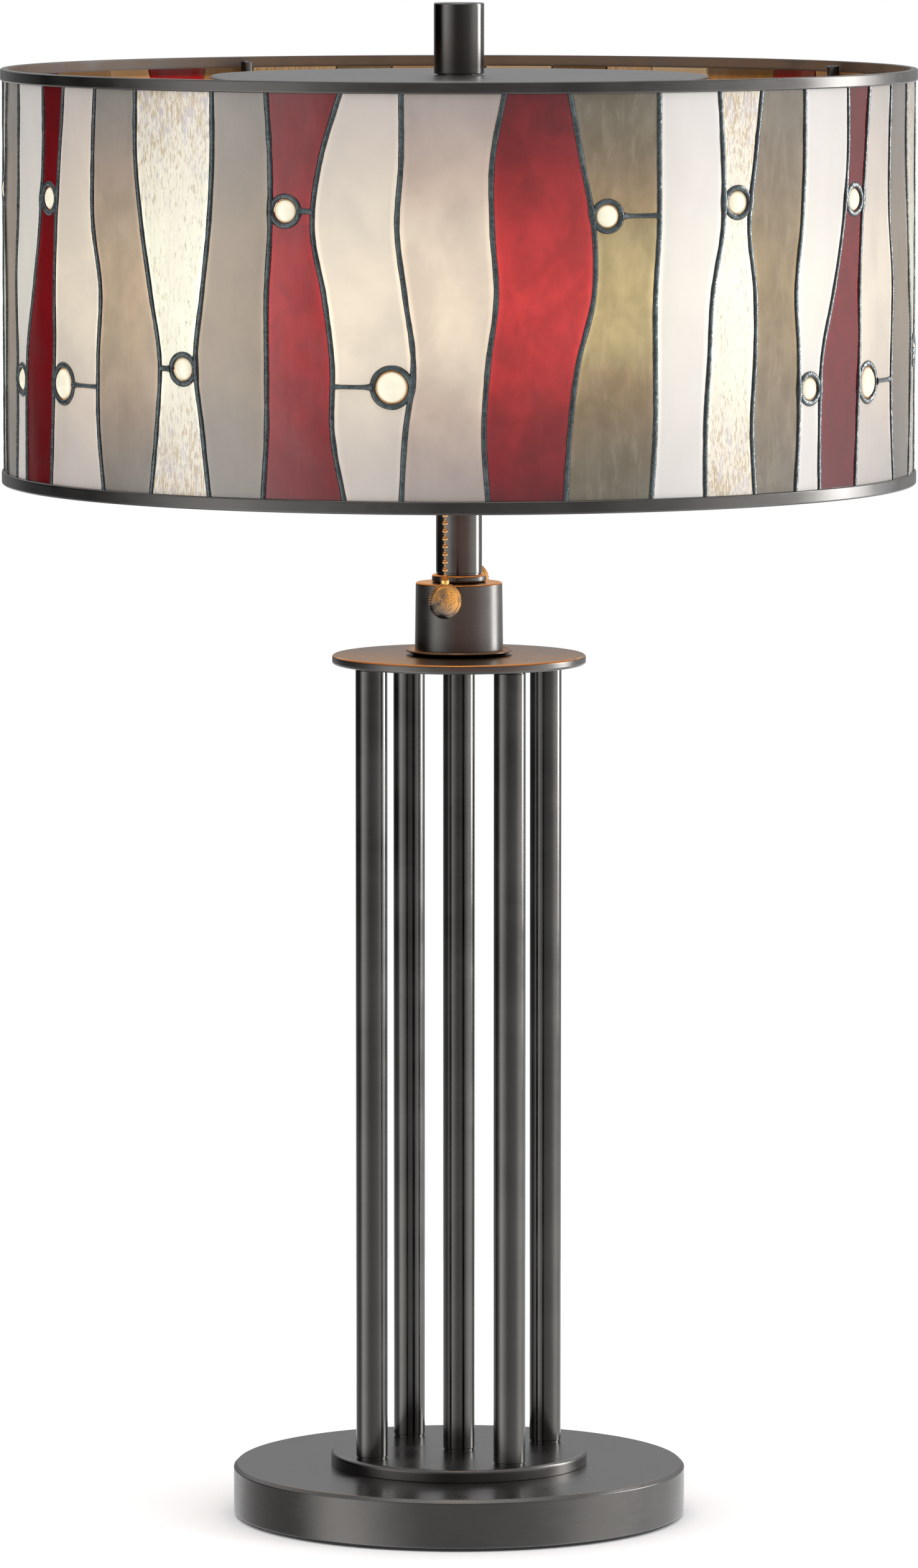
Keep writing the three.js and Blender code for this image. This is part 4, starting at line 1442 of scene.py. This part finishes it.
def pane_mesh(name, strip, low_edge, high_edge, rows, tone):
    """One curved piece of glass between two lead lines; its lower and upper edges are functions of turn."""
    inset = degrees_at_glass(JOINT_HALF)
    vertices, lead_edge_highlight, inside = [], [], []
    for radius in (GLASS_OUTER, GLASS_OUTER - GLASS_THICK):
        for row in range(rows + 1):
            for column in range(PANE_COLUMNS + 1):
                across = 0.5 - 0.5 * math.cos(math.pi * column / PANE_COLUMNS)
                guess = (low_edge(None) + high_edge(None)) / 2
                for _ in range(3):
                    left = line_turn(strip, guess) + inset
                    right = line_turn(strip + 1, guess) - inset
                    turn = left + (right - left) * across
                    low, high = low_edge(turn), high_edge(turn)
                    guess = low + (high - low) * row / rows
                swell = 0.22 * MM * noise.noise(around(12.0, turn + 40 * tone, guess * 60))
                vertices.append(around(radius + swell, turn, guess))
                to_lead = math.radians((right - left) * min(across, 1 - across)) * GLASS_OUTER
                lead_edge_highlight.append(min(max((BORDER_WIDTH - to_lead) / BORDER_FADE, 0.0), 1.0))
                inside.append(0.0 if radius == GLASS_OUTER else 1.0)
    count = (rows + 1) * (PANE_COLUMNS + 1)

    def at(row, column):
        return row * (PANE_COLUMNS + 1) + column

    faces = []
    for row in range(rows):
        for column in range(PANE_COLUMNS):
            quad = (at(row, column), at(row, column + 1), at(row + 1, column + 1), at(row + 1, column))
            faces.append(quad)
            faces.append(tuple(count + corner for corner in reversed(quad)))
    loop = [at(0, column) for column in range(PANE_COLUMNS)]
    loop += [at(row, PANE_COLUMNS) for row in range(rows)]
    loop += [at(rows, column) for column in range(PANE_COLUMNS, 0, -1)]
    loop += [at(row, 0) for row in range(rows, 0, -1)]
    for one, two in zip(loop, loop[1:] + loop[:1]):
        faces.append((two, one, one + count, two + count))
    mesh = bpy.data.meshes.new(name)
    mesh.from_pydata(vertices, [], faces)
    put_attribute(mesh, "tone", [tone] * len(vertices))
    put_attribute(mesh, "lead_edge_highlight", lead_edge_highlight)
    put_attribute(mesh, "inside", inside)
    smooth_by_angle(mesh, 35)
    return mesh


def edge_by_jewel(jewel, side):
    """The pane edge beside a jewel: level, with a round notch. side is 1 above the jewel, -1 below."""
    turn_of_jewel, height, radius = jewel
    notch = radius + 0.3 * MM

    def edge(turn):
        away = 1.0 if turn is None else math.radians(turn - turn_of_jewel) * GLASS_OUTER
        bulge = math.sqrt(notch**2 - away**2) if abs(away) < notch else 0.0
        return height + side * max(bulge, JOINT_HALF)

    return edge


def level_edge(height):
    """A pane edge at one height all the way round."""
    return lambda turn: height


def make_panes(materials):
    """Every pane of the shade, split in two where a jewel sits in its strip."""
    random.seed(11)
    glass_bottom, glass_top = level_edge(GLASS_BOTTOM), level_edge(GLASS_TOP)
    for strip in range(STRIPS):
        kind = ODD_STRIPS.get(strip, STRIP_KINDS[strip % LINES_PER_REPEAT][0])
        node = f"glass_panel_{strip // 2 + 1:02d}"
        jewel = jewel_place(strip)
        parts = [("", glass_bottom, glass_top, PANE_ROWS)]
        if jewel:
            share = (jewel[1] - GLASS_BOTTOM) / (GLASS_TOP - GLASS_BOTTOM)
            lower_rows = round(PANE_ROWS * share)
            parts = [
                ("_lower", glass_bottom, edge_by_jewel(jewel, -1), lower_rows),
                ("_upper", edge_by_jewel(jewel, 1), glass_top, PANE_ROWS - lower_rows),
            ]
        for suffix, low_edge, high_edge, rows in parts:
            name = f"pane_{strip + 1:02d}_{kind}{suffix}"
            mesh = pane_mesh(name, strip, low_edge, high_edge, rows, random.random())
            pane = new_piece(name, mesh, materials["glass_" + kind])
            settle(pane, "shade", SLOT_OF_GLASS[kind], node)


LINE_STEPS, RING_STEPS, BAR_STEPS = 80, 48, 16


def touching(line):
    """Heights of the jewels whose rings are soldered to a lead line."""
    heights = []
    for strip, sides in ((line, (-1, 0)), ((line - 1) % STRIPS, (1, 0))):
        jewel = STRIP_KINDS[strip % LINES_PER_REPEAT][1]
        if jewel and jewel[2] in sides:
            heights.append(jewel[0])
    return heights


def lead_line(line):
    """A line from rim to rim, wider where a jewel's ring touches it."""
    points = []
    for step in range(LINE_STEPS + 1):
        height = GLASS_BOTTOM + (GLASS_TOP - GLASS_BOTTOM) * step / LINE_STEPS
        swell = sum(0.4 * math.exp(-(((height - at) / (4.5 * MM)) ** 2)) for at in touching(line))
        points.append((around(GLASS_OUTER, line_turn(line, height), height), 1.0 + swell))
    return points


def jewel_ring(turn, height, radius):
    """The ring of solder round a jewel."""
    points = []
    for step in range(RING_STEPS + 1):
        angle = 2 * math.pi * step / RING_STEPS
        spot_turn = turn + degrees_at_glass(radius * math.cos(angle))
        points.append((around(GLASS_OUTER, spot_turn, height + radius * math.sin(angle)), 1.02))
    return points


def solder_bar(near, far, height):
    """A bar from a jewel's ring to the far lead line, flared at both ends."""
    points = []
    for step in range(BAR_STEPS + 1):
        share = step / BAR_STEPS
        length = abs(math.radians(far - near)) * GLASS_OUTER
        from_ring, from_line = share * length, (1 - share) * length
        swell = 1.1 * math.exp(-from_ring / (1.3 * MM)) + 0.5 * math.exp(-from_line / (1.6 * MM))
        points.append((around(GLASS_OUTER, near + (far - near) * share, height), 0.8 + swell))
    return points


def make_lead(materials, solder_tree, jewel_tree):
    """All the solder as one piece, and the glass jewels it holds."""
    lines = [lead_line(line) for line in range(STRIPS)]
    jewels = []
    for strip in range(STRIPS):
        jewel = jewel_place(strip)
        if not jewel:
            continue
        turn, height, radius = jewel
        jewels.append((around(GLASS_OUTER - GLASS_THICK / 2, turn, height), radius))
        ring = radius + RING_WIDTH
        lines.append(jewel_ring(turn, height, ring))
        side = STRIP_KINDS[strip % LINES_PER_REPEAT][1][2]
        if side:
            far = line_turn(strip + 1 if side < 0 else strip, height)
            lines.append(solder_bar(turn - side * degrees_at_glass(ring), far, height))
    lead = grow("lead_lines", polylines("lead_paths", lines), solder_tree, {"Material": materials["lead"]})
    settle(lead, "shade", "lead_came", "lead_lattice")
    points = bpy.data.meshes.new("jewel_points")
    points.from_pydata([tuple(place) for place, _ in jewels], [], [])
    put_attribute(points, "thick", [radius for _, radius in jewels])
    domes = grow("glass_jewels", points, jewel_tree, {"Material": materials["jewel"]})
    settle(domes, "shade", "glass_clear")


def rim_corners(low, high):
    """Section of a rim channel: flat outer band, soft edges, thin wall."""
    return [
        (RIM_OUTER - RIM_WIDTH, low, 0.3 * MM),
        (RIM_OUTER, low, 0.7 * MM),
        (RIM_OUTER, high, 0.7 * MM),
        (RIM_OUTER - RIM_WIDTH, high, 0.5 * MM),
    ]


def make_shade_metal(materials):
    """Both rims, the cap and the spider."""
    for node, name in (("top_ring", "upper_rim"), ("bottom_ring", "lower_rim")):
        corners = rim_corners(bottom(node), top(node))
        rim = turned(name, corners, materials["bronze"], 256)
        rim.data.materials.append(materials["rim_inside_painted_shade"])
        for face in rim.data.polygons:
            facing_in = face.center.x * face.normal.x + face.center.y * face.normal.y < -0.5 * RIM_OUTER
            face.material_index = 1 if facing_in else 0
        settle(rim, "shade", "bronze", node)
    low, high, edge = extent("cap_disc")
    corners = [
        (PIPE_HOLE, low),
        (edge - 0.8 * MM, low, 0.3 * MM),
        (edge, low + 0.7 * MM, 0.3 * MM),
        (edge, high - 0.8 * MM, 0.4 * MM),
        (edge - 1.2 * MM, high, 0.6 * MM),
        (PIPE_HOLE, high),
    ]
    settle(turned("heat_cap", corners, materials["bronze"], 192), "shade", "bronze", "cap_disc")
    make_spider(materials)


ARM_TURNS = (30, 120, 210, 300)


def make_spider(materials):
    """The hub and four arms that carry the shade, joined into one piece."""
    low, high, edge = bottom("spider"), top("cap_disc") - 2.0 * MM, 16 * MM
    corners = [(PIPE_HOLE, low), (edge, low, 0.6 * MM), (edge, high, 0.4 * MM), (PIPE_HOLE, high)]
    pieces = [turned("hub", corners, materials["bronze"], 64)]
    # An arm seen from the side, in millimetres: (distance from the axis, height).
    outline = [(12, 620), (190.5, 620), (193.4, 622.5), (193.4, 630), (192.9, 630.5), (189.2, 630.5)]
    outline += [(188.6, 630), (188.6, 626), (187.6, 625), (12, 625)]
    for i, turn in enumerate(ARM_TURNS):
        shape = bmesh.new()
        corner = [shape.verts.new((x * MM, -1.5 * MM, z * MM)) for x, z in outline]
        face = shape.faces.new(corner)
        pushed = bmesh.ops.extrude_face_region(shape, geom=[face])
        moved = [item for item in pushed["geom"] if isinstance(item, bmesh.types.BMVert)]
        bmesh.ops.translate(shape, verts=moved, vec=(0, 3 * MM, 0))
        bmesh.ops.recalc_face_normals(shape, faces=shape.faces)
        edges = [edge for edge in shape.edges if edge.calc_face_angle(0) > math.radians(40)]
        bmesh.ops.bevel(shape, geom=edges, offset=0.3 * MM, segments=2, profile=0.5, affect="EDGES")
        mesh = bpy.data.meshes.new("arm")
        shape.to_mesh(mesh)
        shape.free()
        mesh.transform(Matrix.Rotation(math.radians(turn), 4, "Z"))
        smooth_by_angle(mesh)
        pieces.append(new_piece(f"arm_{i}", mesh, materials["bronze"]))
    settle(merged("spider_arms", pieces), "shade", "bronze", "spider")


def make_finial(materials):
    """The plain cylinder that screws the shade down."""
    low, high, edge = extent("finial")
    bore_top = 646 * MM
    corners = [
        (0, bore_top),
        (PIPE_HOLE, bore_top),
        (PIPE_HOLE, low),
        (edge, low, 0.3 * MM),
        (edge, high, 0.7 * MM),
        (0, high),
    ]
    settle(turned("finial_cylinder", corners, materials["bronze_tube"], 96), "finial", "bronze", "finial")


# ---------------------------------------------------------------- carried-over nodes
def dress_carried_nodes(materials):
    """Nodes whose shape is already right only take a better material."""
    finishes = {
        "base_washer": "steel",
        "base_nut": "steel",
        "threaded_pipe": "steel",
        "riser_tube": "steel",
        "hub_nut": "steel",
        "finial_washer": "bronze",
        "cord_bushing": "rubber",
    }
    for node, finish in finishes.items():
        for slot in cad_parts[node].material_slots:
            slot.material = materials[finish]


RIM_PIECES = ("upper_rim", "lower_rim", "spider_arms")
NECK_PIECES = ("top_plate", "seat_dish", "collar_cup", "check_washer", "stem")
METAL_PIECES = (
    "base_casting",
    "step_plate",
    "centre_column",
    *(f"column_rod_{number}" for number in range(1, 5)),
    *NECK_PIECES,
    *RIM_PIECES,
    "heat_cap",
    "finial_cylinder",
    "finial_washer",
    "lead_lines",
)


def pieces_of(names):
    return [bpy.data.objects[name] for name in names]


def main():
    place_camera()
    make_stage()
    make_world()
    materials = make_materials()
    ridge_tree = make_ridge_tree()
    make_foot(materials)
    make_column(materials)
    make_neck(materials)
    make_sockets(materials, ridge_tree)
    make_pull_chains(materials, make_bead_chain_tree(), ridge_tree)
    make_panes(materials)
    make_lead(materials, make_solder_tree(), make_jewel_tree())
    make_shade_metal(materials)
    make_finial(materials)
    dress_carried_nodes(materials)
    light_the_lamp(pieces_of(METAL_PIECES), pieces_of(NECK_PIECES), pieces_of(RIM_PIECES))
    bpy.context.scene.view_settings.view_transform = "Standard"


main()
